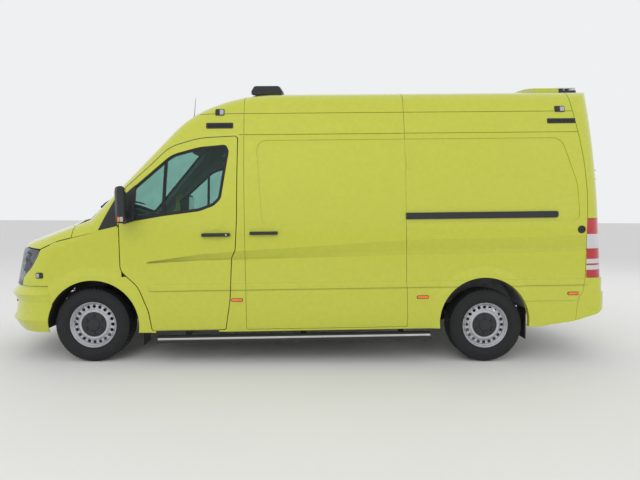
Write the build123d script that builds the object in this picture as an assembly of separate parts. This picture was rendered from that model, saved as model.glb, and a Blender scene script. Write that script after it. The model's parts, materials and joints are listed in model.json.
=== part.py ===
"""High-roof panel van fitted as an ambulance, as an assembly of separate pieces.

+X points forward, +Y to the left and +Z up. The origin is on the ground under the
middle of the vehicle. Lengths are millimetres and angles are degrees. The body is
drawn level and then leans on its springs, nose low, while the wheels stay upright.
"""
from build123d import *
from math import asin, atan2, cos, degrees, radians, sin, sqrt, tan
import os

# Wheels and stance
WHEELBASE = 3665.0
FRONT_AXLE_X = 1951.0
REAR_AXLE_X = FRONT_AXLE_X - WHEELBASE
TRACK = 1710.0
TYRE_RADIUS = 346.0
TYRE_WIDTH = 228.0
TYRE_SHOULDER = 34.0
RIM_RADIUS = 205.0
RIM_WIDTH = 176.0
RIM_WALL = 9.0
AXLE_Z = TYRE_RADIUS
STANCE_ANGLE = 1.02
STANCE_X = FRONT_AXLE_X
STANCE_Z = 340.0

# Main body form
HALF_WIDTH = 985.0
SILL_Z = 271.0
TUMBLE_Z = 1180.0
TUMBLE_RADIUS = 4300.0
ROOF_Z = 2595.0
ROOF_CROWN = 2400.0
ROOF_FLAT_END_X = 245.0
DOME_RADIUS = 1800.0
DOME_ANGLE = 22.0
BROW_RADIUS = 1120.0
SCREEN_ANGLE = 44.7
EDGE_RADIUS = 150.0
TAIL_X = -2912.0
TAIL_Z = 700.0
TAIL_LEAN = 3.3
TAIL_PLAN_RADIUS = 5000.0
WALL = 45.0

# Nose form
NOSE_X = 2955.0
NOSE_PLAN_RADIUS = 1900.0
NOSE_CORNER_RADIUS = 480.0
NOSE_STEP_Z = 700.0
NOSE_STEP = 50.0
NOSE_LEAN = 13.0
BONNET_X = 2056.0
BONNET_Z = 1401.0
BONNET_SLOPE = 20.4
BONNET_CROWN = 3500.0
BONNET_LIP = 150.0
SHEET = 6.0
BONNET_THICKNESS = 22.0

# Seams
DOOR_GAP = 8.0
RELIEF = 23.0
RELIEF_Z = (795.0, 850.0)
SEAM_WIDTH = 6.0
SEAM_DEPTH = 9.0
GUTTER_Z = 2085.0
RECESS_DEPTH = 6.0
FIT = 0.3

# Wheel arches, in the level body
FRONT_ARCH_X = 1930.0
FRONT_ARCH_Z = 345.0
FRONT_ARCH_RADIUS = 422.0
FRONT_FLARE_RADIUS = 575.0
REAR_ARCH_X = -1690.0
REAR_ARCH_Z = 320.0
REAR_ARCH_RADIUS = 420.0
REAR_FLARE_RADIUS = 550.0
FLARE_HEIGHT = 12.0
LINER_WALL = 5.0

# Sliding door and tail
SLIDER_FRONT_X = 526.0
SLIDER_REAR_X = -962.0
DOOR_BOTTOM_Z = 291.0
TAIL_DOOR_HALF = 780.0
TAIL_DOOR_BOTTOM_Z = 600.0
TAIL_DOOR_TOP_Z = 2285.0

# Glass
GLASS_INSET = 10.0
GLASS_THICKNESS = 5.0

# Hinges
HINGE_PIN = 4.0
PIN_END = 2.0
HINGE_BARREL = 7.0
HINGE_LENGTH = 70.0
PIN_CLEARANCE = 0.3
DOOR_HINGE_X = 1640.0
DOOR_HINGE_INSET = 12.5
TAIL_HINGE_Y = 792.0
TAIL_HINGE_OUT = 14.0
BONNET_HINGE_X = 2085.0
BONNET_HINGE_Z = 1262.0

# Floor and underframe, in the level body
CARGO_FLOOR_Z = 600.0
CAB_FLOOR_Z = 480.0
FLOOR_THICKNESS = 30.0
SILL_INNER_Y = 877.0
SILL_GAP = 8.0
SILL_LIFT = 4.0
POST_TOP_Z = 1885.0
POSTS = [(SLIDER_FRONT_X + 4, SLIDER_FRONT_X + 50), (SLIDER_REAR_X - 60, SLIDER_REAR_X - 10)]
RAIL_Y = 400.0
RAIL_WIDTH = 70.0
RAIL_HEIGHT = 130.0

# Steering
HUB_RADIUS = 34.0
HUB_CLEARANCE = 0.4

# Bonnet, cowl and firewall
BONNET_REAR_X = 2245.0
BONNET_REAR_RADIUS = 1850.0
BONNET_CORNER_X = 2105.0
BONNET_GAP = 7.0
BONNET_HINGE_Y = 780.0
BONNET_ARM = 80.0
PILLAR_FOOT_X = 1800.0
PILLAR_FOOT_Y = 850.0
COWL_DROP = 35.0
COWL_HALF = 846.0
COWL_LOWER_HALF = 720.0
TRIM_DEPTH = 12.0
COWL_THICKNESS = 12.0
COWL_NOTCH_BACK = 45.0
COWL_NOTCH_HALF = 46.0
COWL_NOTCH_RISE = 26.0
FIREWALL_X = 1760.0
FIREWALL_HALF = 930.0
PILLAR_X = 1690.0
PILLAR_Z = 800.0
LUG = 12.0
STRAP = 6.0
STRAP_LENGTH = 100.0
STRAP_ROOT_X = 26.0
STRAP_ROOT_Y = 16.0
TAIL_LUG_X = 34.0
TAIL_LUG_BACK = 4.0
TAIL_LUG_Y = 40.0
GOOSENECK = 38.0
POCKET_REACH = 18.0
DOOR_HINGE_ZS = (930.0, 1140.0)
UPPER_LINE_Z = 2290.0
UPPER_LINE_FRONT_X = 945.0

# Front end
GRILLE_HALF = 470.0
GRILLE_REAR_X = 2500.0
GRILLE_BOTTOM_Z = 722.0
GRILLE_TOP_Z = 1034.0
GRILLE_BAR = 26.0
GRILLE_ROWS = 4
GRILLE_DEPTH = 40.0
LAMP_DEPTH = 110.0
BUMPER_WALL = 10.0
LOWER_GRILLE_HALF = 560.0
LOWER_GRILLE_Z0 = 360.0
LOWER_GRILLE_Z1 = 480.0

# Front bumper from the bottom up: height, set back, drawn in at the sides
BUMPER_PROFILE = [
    (SILL_Z, 62, 36), (322, 34, 20), (400, 0, 4), (451, 24, 6), (563, 38, 8),
    (624, 7, 3), (637, 0, 0), (700, NOSE_STEP, 12), (NOSE_STEP_Z + 16, NOSE_STEP, 12),
]

# Rear end
REAR_X = -2955.0
REAR_BUMPER_WALL = 44.0
REAR_BUMPER_TOP_Z = 586.0
REAR_BUMPER_BOW = 4150.0
REAR_BUMPER_CORNER = 130.0
REAR_BUMPER_SKIN = 20.0
CORNER_SET_IN = 17.0
TAIL_LAMP_TOP_Z = 1280.0
TAIL_SILL_Z = 560.0
BUMPER_CORNER_Y = 852.0
TAIL_LAMP_DEPTH = 24.0
TAIL_LAMP_Y = 804.0
TAIL_WINDOW_Y0 = 130.0
TAIL_WINDOW_Y1 = 690.0
TAIL_WINDOW_Z0 = 1395.0
TAIL_WINDOW_Z1 = 2000.0
TAIL_WINDOW_CORNER = 60.0
TAIL_HINGE_ZS = (656.0, 1690.0)

# Door fittings
DOOR_HANDLE_X0 = 659.0
DOOR_HANDLE_X1 = 914.0
DOOR_HANDLE_Z = 1170.0
SLIDER_HANDLE = (222, 478, 1180)
RAIL_STAND = 7.0
LAMP_STAND = 9.0
# Lamps on the side: x0, x1, z0, z1, corner radius
SIDE_LAMPS = [
    (554, 664, 549, 581, 15), (-1170, -1056, 549, 581, 15), (-2578, -2470, 562, 594, 15),
    (2371, 2444, 790, 844, 14), (709, 793, 2273, 2336, 14), (626, 875, 2149, 2203, 12),
    (-2490, -2395, 2281, 2340, 14), (-2579, -2312, 2171, 2219, 12),
]
MIRROR_BOTTOM_Z = 1290.0
MIRROR_TOP_Z = 1615.0
MIRROR_ARM = (1600.0, 1636.0, 950.0, 1075.0)
MIRROR_ARM_RISE = 40.0
MIRROR_ARM_TOP = 90.0
HANDLE_IN = 18.0
HANDLE_OUT = 34.0
HANDLE_HALF = 15.0
HANDLE_EDGE = 6.0
FOOT_INSET = 8.0
FOOT_LENGTH = 40.0
FOOT_HALF = 12.0
MIRROR_PLAN = [
    (1592, 1062, 0), (1592, 1236, 0), (1676, 1240, 0), (1692, 1150, 0), (1660, 1062, 0),
]

# Floor, sills and rails
FLOOR_REAR_X = -2790.0
CAB_FLOOR_REAR_X = 620.0
CAB_FLOOR_FRONT_X = 1450.0
SILL_REAR_X = -1240.0
SILL_FRONT_X = 1400.0
WELL_Y = 640.0
FRONT_WELL_Y = 745.0
RAIL_TOP_Z = CARGO_FLOOR_Z - FLOOR_THICKNESS
FRONT_RAIL_TOP_Z = CAB_FLOOR_Z - FLOOR_THICKNESS
CROSS_MEMBER_XS = (-2600, -900, 300)
RAIL_REAR_X = -2780.0
RAIL_LAP = 60.0
MEMBER_HALF = 40.0
MEMBER_INSET = 20.0
CRASH_INSET = 10.0
CRASH_NOSE_X = 2845.0
WELD = 2.0
POST_DEPTH = 50.0
OUTRIGGER_HALF = 30.0
OUTRIGGER_HEIGHT = 90.0
NOSE_MEMBER_X = 2640.0
ANCHOR_XS = (-300, -1500)
ANCHOR_RADIUS = 6.5
TOW_SOCKET_Y = -300.0
TOW_SOCKET_Z = 385.0
TOW_SOCKET_RADIUS = 11.0
TOW_SOCKET_DEPTH = 60.0

# Axles
ARM_Z = 216.0
KING_LOW_Y = 785.0
STRUT_FOOT_Y = 712.0
STRUT_TOP_Y = 640.0
STRUT_TOP_Z = 900.0
STRUT_RADIUS = 26.0
STRUT_MOUNT_RADIUS = 44.0
STRUT_SEAT = 26.0
TOWER_HALF = 70.0
TOWER_REACH = 60.0
TOWER_RISE = 14.0
TOWER_TOP = 34.0
BALL_HALF = 22.0
BALL_RADIUS = 24.0
BEAM_HALF = 70.0
BEAM_DROP = 30.0
BEAM_RISE = 60.0
BEAM_GAP = 1.4
ARM_RADIUS = 17.0
ARM_SPREAD = 130.0
ARM_ROOT_Y = 300.0
BUSH = 20.0
UPRIGHT_HALF = 34.0
UPRIGHT_REACH = 20.0
UPRIGHT_TOP_Z = 450.0
STRUT_FOOT_Z = 400.0
STUB_GAP = 2.0
PAD_GAP = 5.0
CALIPER_REACH = 160.0
CALIPER_ROOT = 92.0
CALIPER_BACK = 22.0
CALIPER_FACE = 15.0
CALIPER_HALF = 48.0
HUB_FACE = 52.0
DISC_Y = -28.0
DISC_HALF = 13.0
DISC_RADIUS = 142.0
AXLE_TUBE_RADIUS = 46.0
DIFF_RADIUS = 140.0
SPRING_HALF = 680.0
SPRING_PAD = 30.0
LEAF_THICKNESS = 18.0
LEAF_HALF = 35.0
LEAF_EYE = 22.0
SHACKLE = 42.0
SHACKLE_HALF = 16.0

# Wheel sections: radius and distance outward from the wheel's middle
RIM_HALF = RIM_WIDTH / 2
RIM_LIP = RIM_RADIUS + 12
RIM = [
    (RIM_RADIUS, RIM_WALL - RIM_HALF), (RIM_LIP, RIM_WALL - RIM_HALF), (RIM_LIP, -RIM_HALF),
    (RIM_RADIUS - RIM_WALL, -RIM_HALF), (RIM_RADIUS - RIM_WALL, -30), (RIM_RADIUS - 26, -18),
    (RIM_RADIUS - 26, 18), (RIM_RADIUS - RIM_WALL, 30), (RIM_RADIUS - RIM_WALL, RIM_HALF),
    (RIM_LIP, RIM_HALF), (RIM_LIP, RIM_HALF - RIM_WALL), (RIM_RADIUS, RIM_HALF - RIM_WALL),
    (RIM_RADIUS, 34), (RIM_RADIUS - 17, 22), (RIM_RADIUS - 17, -22), (RIM_RADIUS, -34),
]
DISH = [
    (HUB_RADIUS, HUB_FACE - 12), (84, HUB_FACE - 12), (104, HUB_FACE + 2),
    (RIM_RADIUS - 50, HUB_FACE - 12), (RIM_RADIUS - RIM_WALL + 1, 20),
    (RIM_RADIUS - RIM_WALL + 1, 36), (RIM_RADIUS - 44, HUB_FACE), (108, HUB_FACE + 14),
    (80, HUB_FACE), (HUB_RADIUS, HUB_FACE),
]
HUB = [
    (HUB_RADIUS, DISC_Y - DISC_HALF), (66, DISC_Y - DISC_HALF), (66, HUB_FACE - 6),
    (HUB_RADIUS, HUB_FACE - 6),
]
BRAKE_DISC = [
    (HUB_RADIUS, DISC_Y - DISC_HALF), (DISC_RADIUS, DISC_Y - DISC_HALF),
    (DISC_RADIUS, DISC_Y + DISC_HALF), (HUB_RADIUS, DISC_Y + DISC_HALF),
]
HUB_CAP = [
    (0, HUB_FACE + 1), (HUB_RADIUS + 8, HUB_FACE - 2), (HUB_RADIUS + 8, HUB_FACE + 14),
    (30, HUB_FACE + 26), (0, HUB_FACE + 26),
]
TYRE_HALF = TYRE_WIDTH / 2
TYRE_SIDE = [
    (RIM_RADIUS + 16, RIM_HALF - RIM_WALL - FIT), (RIM_RADIUS + 38, TYRE_HALF - 6),
    (RIM_RADIUS + 70, TYRE_HALF), (TYRE_RADIUS - TYRE_SHOULDER, TYRE_HALF - 4),
    (TYRE_RADIUS - 6, TYRE_HALF - 20), (TYRE_RADIUS, TYRE_HALF - 40),
]
ENGINE_HALF = 260.0
ENGINE_X = (1800, 2440)
ENGINE_Z = (340, 900)
ENGINE_NOSE_GAP = 120.0
ENGINE_MOUNT_X = (2080, 2140)
ENGINE_MOUNT_Z = (390, 430)
GEARBOX_REAR_X = 1000.0
GEARBOX_HALF = 160.0
GEARBOX_Z = (330, 440)
PINION_REACH = 250.0
PINION_RADIUS = 62.0
SHAFT_RADIUS = 38.0
SHAFT_LAP = 4.0

# Steps and flaps
STEP_FRONT_X = 1339.0
STEP_REAR_X = -1180.0
STEP_Y0 = 950.0
STEP_Y1 = 1040.0
STEP_BOTTOM_Z = 185.0
STEP_EDGE = 10.0
STEP_WALL = 8.0
BRACKET_INSET = 260.0
BRACKET_HALF = 25.0
BRACKET_DEPTH = 40.0
STEP_TOP_Z = 240.0
MUD_FLAPS = [(1494, 1502.7, 140, 346), (-2107, -2098, 140, 446)]
FLAP_Y0 = 740.0
FLAP_Y1 = 930.0

# Roof gear
BAR_REAR_X = 185.0
BAR_FRONT_X = 480.0
BAR_HALF = 620.0
BAR_HEIGHT = 92.0
BAR_EDGE = 18.0
ROOF_SINK = 40.0
BOX_REAR_X = -2572.0
BOX_FRONT_X = -2313.0
BOX_LAMP_X = -2760.0
BOX_HALF = 560.0
BOX_HEIGHT = 40.0
LAMP_HEIGHT = 46.0

# Cabin
BULKHEAD_X = 588.0
SEAT_Z = 820.0
SEATS = [(470.0, 520.0), (-380.0, 760.0)]
COLUMN_TOP = (1290.0, 470.0, 1190.0)
COLUMN_FOOT = (1690.0, 470.0, 905.0)
COLUMN_RADIUS = 30.0
DASH_HALF = 855.0
BULKHEAD = 25.0
SEAT_BASE_X = (800.0, 1180.0)
BASE_INSET = 40.0
HEAD_HALF = 120.0
GRIP_RING = 185.0
GRIP = 14.0
GRIP_HUB = 55.0
HUB_DISC = 30.0
SPOKE = 40.0
TANK = (-600.0, 250.0, 440.0, 800.0, 330.0)
TANK_EDGE = 40.0
PIPE_Y = -250.0
PIPE_Z = 380.0
PIPES = [(1500.0, -1300.0, 32.0), (-100.0, -760.0, 95.0)]
HANGER_HALF = 6.0
HANGER_REACH = 8.0

# Seam between the body side and the rear frame: x, z, corner radius
TAIL_SEAM = [
    (-2592, GUTTER_Z, 0), (-2624, 1826, 0), (-2643, 1539, 0), (-2644, 1277, 0),
    (-2632, 715, 0), (-2622, 590, 0),
]

# More side-view outlines: x, z, corner radius
FIREWALL = [
    (1760, 800, 0), (1785, 800, 0), (1785, 1240, 0), (2060, 1240, 0), (2140, 1480, 0),
    (2115, 1480, 0), (2040, 1265, 0), (1760, 1265, 0),
]
TOE_BOARD = [
    (CAB_FLOOR_FRONT_X, CAB_FLOOR_Z - 30, 0), (CAB_FLOOR_FRONT_X + 20, CAB_FLOOR_Z - 30, 0),
    (1720, 850, 0), (1785, 850, 0), (1785, 875, 0), (1700, 875, 0),
    (CAB_FLOOR_FRONT_X, CAB_FLOOR_Z, 0),
]
ABOVE_FENDER = [
    (1500, 1290, 0), (1670, 1255, 0), (1870, 1214, 0), (2230, 1129, 0), (2398, 1056, 0),
    (2576, 1072, 0), (2700, 1062, 0), (3000, 1046, 0), (3000, 1800, 0), (1500, 1800, 0),
]
FENDER = [
    (1360, SILL_Z, 0), (1360, 600, 0), (1600, 1251, 0), (1670, 1251, 0), (1870, 1210, 0),
    (2230, 1125, 0), (2394, 1052, 0), (2424, 990, 0), (2490, 890, 0), (2600, 790, 0),
    (2610, 722, 0), (2525, 720, 0), (2330, 722, 0), (2290, 500, 0), (1950, 300, 0),
]
HEADLAMP = [
    (2402, 1046, 20), (2576, 1066, 60), (2700, 1056, 0), (2860, 1046, 0), (2960, 900, 0),
    (2960, 724, 0), (2616, 724, 20), (2606, 792, 60), (2496, 892, 60), (2430, 990, 40),
]
BUMPER = [
    (2260, 286, 20), (2296, 500, 0), (2336, 716, 0), (3100, 716, 0), (3100, 286, 0),
]
SIDE = [
    (780, SILL_Z, 0), (780, 1000, 0), (590, 2000, 0), (590, GUTTER_Z, 0), *TAIL_SEAM,
    (-2575, 530, 0), (-2552, 319, 0), (-2214, SILL_Z, 0),
]
TAIL_LAMP = [
    (-2644, 724, 8), (-2644, 1280, 8), (-3000, 1280, 0), (-3000, 724, 0),
]
REAR_BUMPER = [
    (-2552, 319, 10), (-2575, 530, 0), (-2616, 588, 20), (-2636, 720, 8), (-3000, 720, 0),
    (-3000, 440, 0), (-2840, 433, 60), (-2774, 388, 60),
]
SIDE_RAIL = [
    (-960, 1290, 0), (-960, 1350, 0), (-2371, 1350, 20), (-2371, 1290, 20),
]
QUARTER_TRIM = [
    (1680, 1262, 4), (1680, 1560, 4), (1858, 1222, 4),
]
DASHBOARD = [
    (1752, 900, 0), (1560, 960, 60), (1500, 1240, 60), (1640, 1330, 60), (1950, 1330, 0),
    (1950, 1272, 0), (1752, 1272, 0),
]
SEAT_PROFILE = [
    (780, SEAT_Z, 40), (1270, SEAT_Z, 50), (1270, SEAT_Z + 130, 50), (905, SEAT_Z + 120, 30),
    (790, 1480, 45), (670, 1480, 45), (770, SEAT_Z + 130, 60),
]
HEAD_PROFILE = [
    (668, 1478, 10), (640, 1640, 35), (720, 1650, 35), (760, 1478, 10),
]


def point_on(centre, radius, angle):
    """Point at an angle from straight up, forward positive, in the side view."""
    return (centre[0] + radius * sin(radians(angle)), centre[1] + radius * cos(radians(angle)))


def block(x0, x1, y0, y1, z0, z1):
    """Box between two corners."""
    size = (abs(x1 - x0), abs(y1 - y0), abs(z1 - z0))
    return Pos((x0 + x1) / 2, (y0 + y1) / 2, (z0 + z1) / 2) * Box(*size)


def outline(corners):
    """Side-view face from rows of x, z and corner radius."""
    points = [(x, 0, z) for x, z, _ in corners]
    radii = [radius for _, _, radius in corners]
    return make_face(FilletPolyline(*points, radius=radii, close=True).edges())


def plan(corners):
    """Plan-view face from rows of x, y and corner radius."""
    points = [(x, y, 0) for x, y, _ in corners]
    radii = [radius for _, _, radius in corners]
    return make_face(FilletPolyline(*points, radius=radii, close=True).edges())


def slab(face, y0, y1):
    """Side-view face carried across the body from y0 to y1."""
    return extrude(Pos(0, y0, 0) * face, amount=y1 - y0, dir=(0, 1, 0))


def tower(face, z0, z1):
    """Plan-view face carried up from z0 to z1."""
    return extrude(Pos(0, 0, z0) * face, amount=z1 - z0, dir=(0, 0, 1))


def rod(start, end, radius):
    """Round bar between two points."""
    a = Vector(*start)
    b = Vector(*end)
    return extrude(Plane(a, z_dir=b - a) * Circle(radius), amount=(b - a).length)


def mirrored(shape):
    """The same shape on the other side."""
    return mirror(shape, about=Plane.XZ)


def both(shape):
    """The shape and its mirror image, as two solids of one node."""
    return Compound([*shape.solids(), *mirrored(shape).solids()])


def leaning(shape):
    """Body shape brought from the level drawing to the stance on its springs."""
    pivot = Pos(STANCE_X, 0, STANCE_Z)
    return pivot * Rot(0, STANCE_ANGLE, 0) * pivot.inverse() * shape


def in_row(x, y, z):
    """Body point brought from the level drawing to the stance."""
    c = cos(radians(STANCE_ANGLE))
    s = sin(radians(STANCE_ANGLE))
    dx = x - STANCE_X
    dz = z - STANCE_Z
    return (STANCE_X + c * dx + s * dz, y, STANCE_Z + c * dz - s * dx)


PARTS = {}


def keep(name, shape):
    """Keep a finished node, every solid of it."""
    solids = [s for s in shape.solids()]
    PARTS[name] = solids[0] if len(solids) == 1 else Compound(solids)


# Body forms


def side_y(z, inset=0.0):
    """Half width of the body skin at a height."""
    if z <= TUMBLE_Z:
        return HALF_WIDTH - inset
    radius = TUMBLE_RADIUS - inset
    return HALF_WIDTH - TUMBLE_RADIUS + sqrt(radius ** 2 - (z - TUMBLE_Z) ** 2)


def tail_x(y, z, inset=0.0):
    """Rear face of the body at a place across and a height."""
    lean = tan(radians(TAIL_LEAN)) * (z - TAIL_Z)
    bow = TAIL_PLAN_RADIUS - sqrt(TAIL_PLAN_RADIUS ** 2 - y ** 2)
    return TAIL_X + lean + bow + inset


WIDE = 1300.0
FORM_REAR = -3100.0
FORM_FRONT = 2700.0
FORM_TOP = 2900.0
FORM_NOSE = 3000.0
TAIL_FRONT_X = -2400.0


def body_prism(inset):
    """Cross-section with upright lower sides and sides that lean in above."""
    half = HALF_WIDTH - inset
    bottom = SILL_Z
    middle = (TUMBLE_Z + FORM_TOP) / 2
    top_y = side_y(FORM_TOP, inset)
    mid_y = side_y(middle, inset)
    with BuildSketch(Plane.YZ.offset(FORM_REAR)) as section:
        with BuildLine():
            Polyline((-half, TUMBLE_Z), (-half, bottom), (half, bottom), (half, TUMBLE_Z))
            ThreePointArc((half, TUMBLE_Z), (mid_y, middle), (top_y, FORM_TOP))
            Line((top_y, FORM_TOP), (-top_y, FORM_TOP))
            ThreePointArc((-top_y, FORM_TOP), (-mid_y, middle), (-half, TUMBLE_Z))
        make_face()
    return extrude(section.sketch, FORM_FRONT - FORM_REAR)


def roof_path(inset):
    """Centre line of the roof: flat, dome, brow and the straight windscreen."""
    dome = (ROOF_FLAT_END_X, ROOF_Z - DOME_RADIUS)
    brow = point_on(dome, DOME_RADIUS - BROW_RADIUS, DOME_ANGLE)
    dome_r = DOME_RADIUS - inset
    brow_r = BROW_RADIUS - inset
    a = [point_on(dome, dome_r, share * DOME_ANGLE) for share in (0, 0.5, 1)]
    spread = SCREEN_ANGLE - DOME_ANGLE
    b = [point_on(brow, brow_r, DOME_ANGLE + share * spread) for share in (0, 0.5, 1)]
    reach = FORM_FRONT - 500.0
    end = (b[2][0] + reach * cos(radians(SCREEN_ANGLE)),
           b[2][1] - reach * sin(radians(SCREEN_ANGLE)))
    lift = [(x, 0, z) for x, z in (*a, *b, end)]
    return Wire([
        Edge.make_line((FORM_REAR, 0, ROOF_Z - inset), lift[0]),
        Edge.make_three_point_arc(lift[0], lift[1], lift[2]),
        Edge.make_three_point_arc(lift[3], lift[4], lift[5]),
        Edge.make_line(lift[5], lift[6]),
    ])


def screen_top():
    """Place on the centre line where the windscreen's straight slope begins."""
    dome = (ROOF_FLAT_END_X, ROOF_Z - DOME_RADIUS)
    brow = point_on(dome, DOME_RADIUS - BROW_RADIUS, DOME_ANGLE)
    return point_on(brow, BROW_RADIUS, SCREEN_ANGLE)


def above_roof(inset):
    """Everything above the crowned roof and windscreen."""
    half = 1150.0
    radius = ROOF_CROWN - inset
    top = ROOF_Z - inset
    edge_z = top - radius + sqrt(radius ** 2 - half ** 2)
    with BuildSketch(Plane.YZ.offset(FORM_REAR)) as section:
        with BuildLine():
            ThreePointArc((-half, edge_z), (0, top), (half, edge_z))
            Polyline((half, edge_z), (half, top + 900), (-half, top + 900), (-half, edge_z))
        make_face()
    return sweep(section.sketch, path=roof_path(inset))


def behind_tail(inset):
    """Everything behind the bowed and leaning rear face."""
    half = 1200.0
    depth = 900.0
    start_z = 200.0
    lean = radians(TAIL_LEAN)
    x0 = TAIL_X + (start_z - TAIL_Z) * tan(lean) + inset / cos(lean)
    radius = TAIL_PLAN_RADIUS - inset
    x1 = x0 + radius - sqrt(radius ** 2 - half ** 2)
    with BuildSketch(Plane.XY.offset(start_z)) as section:
        with BuildLine():
            ThreePointArc((x1, -half), (x0, 0), (x1, half))
            Polyline((x1, half), (x0 - depth, half), (x0 - depth, -half), (x1, -half))
        make_face()
    return extrude(section.sketch, amount=FORM_TOP, dir=(sin(lean), 0, cos(lean)))


def body_form(inset):
    """Whole rounded body from the rear doors to the windscreen, drawn in by inset."""
    form = body_prism(inset) - above_roof(inset) - behind_tail(inset)
    form = form.solids().sort_by(SortBy.VOLUME)[-1]
    rounded = []
    for edge in form.edges():
        box = edge.bounding_box()
        at_side = min(abs(box.min.Y), abs(box.max.Y)) > HALF_WIDTH / 2
        at_tail = box.max.X < SLIDER_REAR_X and box.size.X < WALL * 4
        lengthwise = box.min.Z > TUMBLE_Z - WALL and box.size.X > WALL * 2
        above_belt = box.max.Z > TUMBLE_Z + WALL
        upright = box.size.Z > WALL * 4
        if at_side and ((lengthwise and above_belt) or (at_tail and upright)):
            rounded.append(edge)
        elif not at_side and at_tail and box.min.Z > GUTTER_Z:
            rounded.append(edge)
    return form.fillet(EDGE_RADIUS - inset, rounded)


def nose_plan(inset):
    """Plan of the nose: straight sides, round corners and a bowed front."""
    centre_x = NOSE_X - NOSE_PLAN_RADIUS
    corner_y = HALF_WIDTH - NOSE_CORNER_RADIUS
    reach = NOSE_PLAN_RADIUS - NOSE_CORNER_RADIUS
    corner_x = centre_x + sqrt(reach ** 2 - corner_y ** 2)
    swing = asin(corner_y / reach)
    radius = NOSE_PLAN_RADIUS - inset
    corner = NOSE_CORNER_RADIUS - inset
    half = HALF_WIDTH - inset
    tangent = (centre_x + radius * cos(swing), radius * sin(swing))
    turn = (swing + radians(90)) / 2
    middle = (corner_x + corner * cos(turn), corner_y + corner * sin(turn))
    rear = FRONT_ARCH_X - FRONT_FLARE_RADIUS - HALF_WIDTH
    with BuildSketch() as section:
        with BuildLine():
            Polyline((corner_x, -half), (rear, -half), (rear, half), (corner_x, half))
            ThreePointArc((corner_x, half), middle, tangent)
            ThreePointArc(tangent, (centre_x + radius, 0), (tangent[0], -tangent[1]))
            ThreePointArc((tangent[0], -tangent[1]), (middle[0], -middle[1]), (corner_x, -half))
        make_face()
    return section.sketch


def above_bonnet(inset):
    """Everything above the crowned and sloping bonnet surface."""
    half = 1150.0
    radius = BONNET_CROWN - inset
    drop = radius - sqrt(radius ** 2 - half ** 2)
    slope = radians(BONNET_SLOPE)
    start_x = 1200.0
    start_z = BONNET_Z + (BONNET_X - start_x) * tan(slope)
    plane = Plane((start_x, 0, start_z), x_dir=(0, 1, 0), z_dir=(cos(slope), 0, -sin(slope)))
    with BuildSketch(plane) as section:
        with BuildLine():
            ThreePointArc((-half, -drop - inset), (0, -inset), (half, -drop - inset))
            Polyline((half, -drop - inset), (half, 1200), (-half, 1200), (-half, -drop - inset))
        make_face()
    return extrude(section.sketch, amount=2600)


def nose_form(inset):
    """Whole nose below the bonnet surface, its front leaning back, drawn in by inset."""
    lean = tan(radians(NOSE_LEAN))
    drop = NOSE_STEP_Z - SILL_Z
    base = Pos(drop * lean - NOSE_STEP, 0, SILL_Z) * nose_plan(inset)
    form = extrude(base, amount=1500, dir=(-sin(radians(NOSE_LEAN)), 0, cos(radians(NOSE_LEAN))))
    form = form - above_bonnet(inset)
    form = form.solids().sort_by(SortBy.VOLUME)[-1]
    form = form & block(FRONT_ARCH_X - FRONT_FLARE_RADIUS, NOSE_X + 200, -WIDE, WIDE, SILL_Z, 1800)
    lip = []
    for edge in form.edges():
        box = edge.bounding_box()
        rim = box.min.Z > GRILLE_TOP_Z - WALL and box.size.X + box.size.Y > WALL * 3
        if rim and box.max.X > FRONT_ARCH_X - FRONT_FLARE_RADIUS + 1 and box.size.X > 1:
            lip.append(edge)
    return form.fillet(BONNET_LIP - inset, lip)


def bumper_form(inset):
    """Stepped front of the bumper, drawn in by inset."""
    sections = []
    for z, back, narrow in BUMPER_PROFILE:
        sections.append(Pos(-back, 0, z) * nose_plan(inset + narrow))
    return loft(sections, ruled=True)


BODY = body_form(0)
BODY_INNER = body_form(WALL)
BODY_RECESS = body_form(RECESS_DEPTH)
BODY_SEAM = body_form(SEAM_DEPTH)
SKIN = BODY - BODY_INNER
NOSE = nose_form(0)
NOSE_INNER = nose_form(SHEET)

# Side-view outlines: x, z, corner radius
CAB_DOOR = [
    (1394, DOOR_BOTTOM_Z, 20), (1425, 472, 300), (1513, 699, 250), (1670, 850, 120),
    (1670, 1560, 60), (1387, 1807, 200), (1207, 1981, 350), (932, 2062, 700),
    (583, GUTTER_Z - 7, 30), (598, 1303, 400), (616, 1029, 60), (650, 956, 80),
    (673, 567, 400), (717, DOOR_BOTTOM_Z, 20),
]
CAB_WINDOW = [
    (1622, 1290, 25), (1264, 1348, 300), (935, 1388, 200), (802, 1436, 120),
    (738, 1500, 90), (664, 1935, 60), (690, 1996, 40), (932, 1976, 500),
    (1185, 1908, 300), (1330, 1782, 300), (1622, 1528, 25),
]
SLIDER = [
    (SLIDER_FRONT_X, DOOR_BOTTOM_Z, 20), (SLIDER_FRONT_X, GUTTER_Z, 0),
    (SLIDER_REAR_X, GUTTER_Z, 0), (SLIDER_REAR_X, 700, 40),
    (SLIDER_REAR_X - 8, 616, 40), (SLIDER_REAR_X - 8, DOOR_BOTTOM_Z, 20),
]
RECESS_FRONT = [
    (415, 2035, 90), (367, 1257, 60), (-1100, 1257, 0), (-1100, 2035, 0),
]
RECESS_REAR = [
    (-850, 2035, 0), (-850, 1257, 0), (-2580, 1257, 60), (-2560, 1600, 0),
    (-2432, 2035, 110),
]

def grown(face, amount):
    """Side-view face grown outward, or drawn in when negative."""
    return offset(face, amount=amount, kind=Kind.INTERSECTION)


def side_region(corners, amount=0.0, y0=500.0, y1=WIDE):
    """Outline carried across the left side of the body."""
    face = outline(corners)
    if amount:
        face = grown(face, amount)
    return slab(face, y0, y1)


def body_window(corners, y0=500.0):
    """Glass pane that follows the body skin inside a window outline."""
    pane = GLASS_OUTER - GLASS_INNER
    return pane & side_region(corners, -FIT, y0)


GLASS_OUTER = body_form(GLASS_INSET)
GLASS_INNER = body_form(GLASS_INSET + GLASS_THICKNESS)


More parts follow.
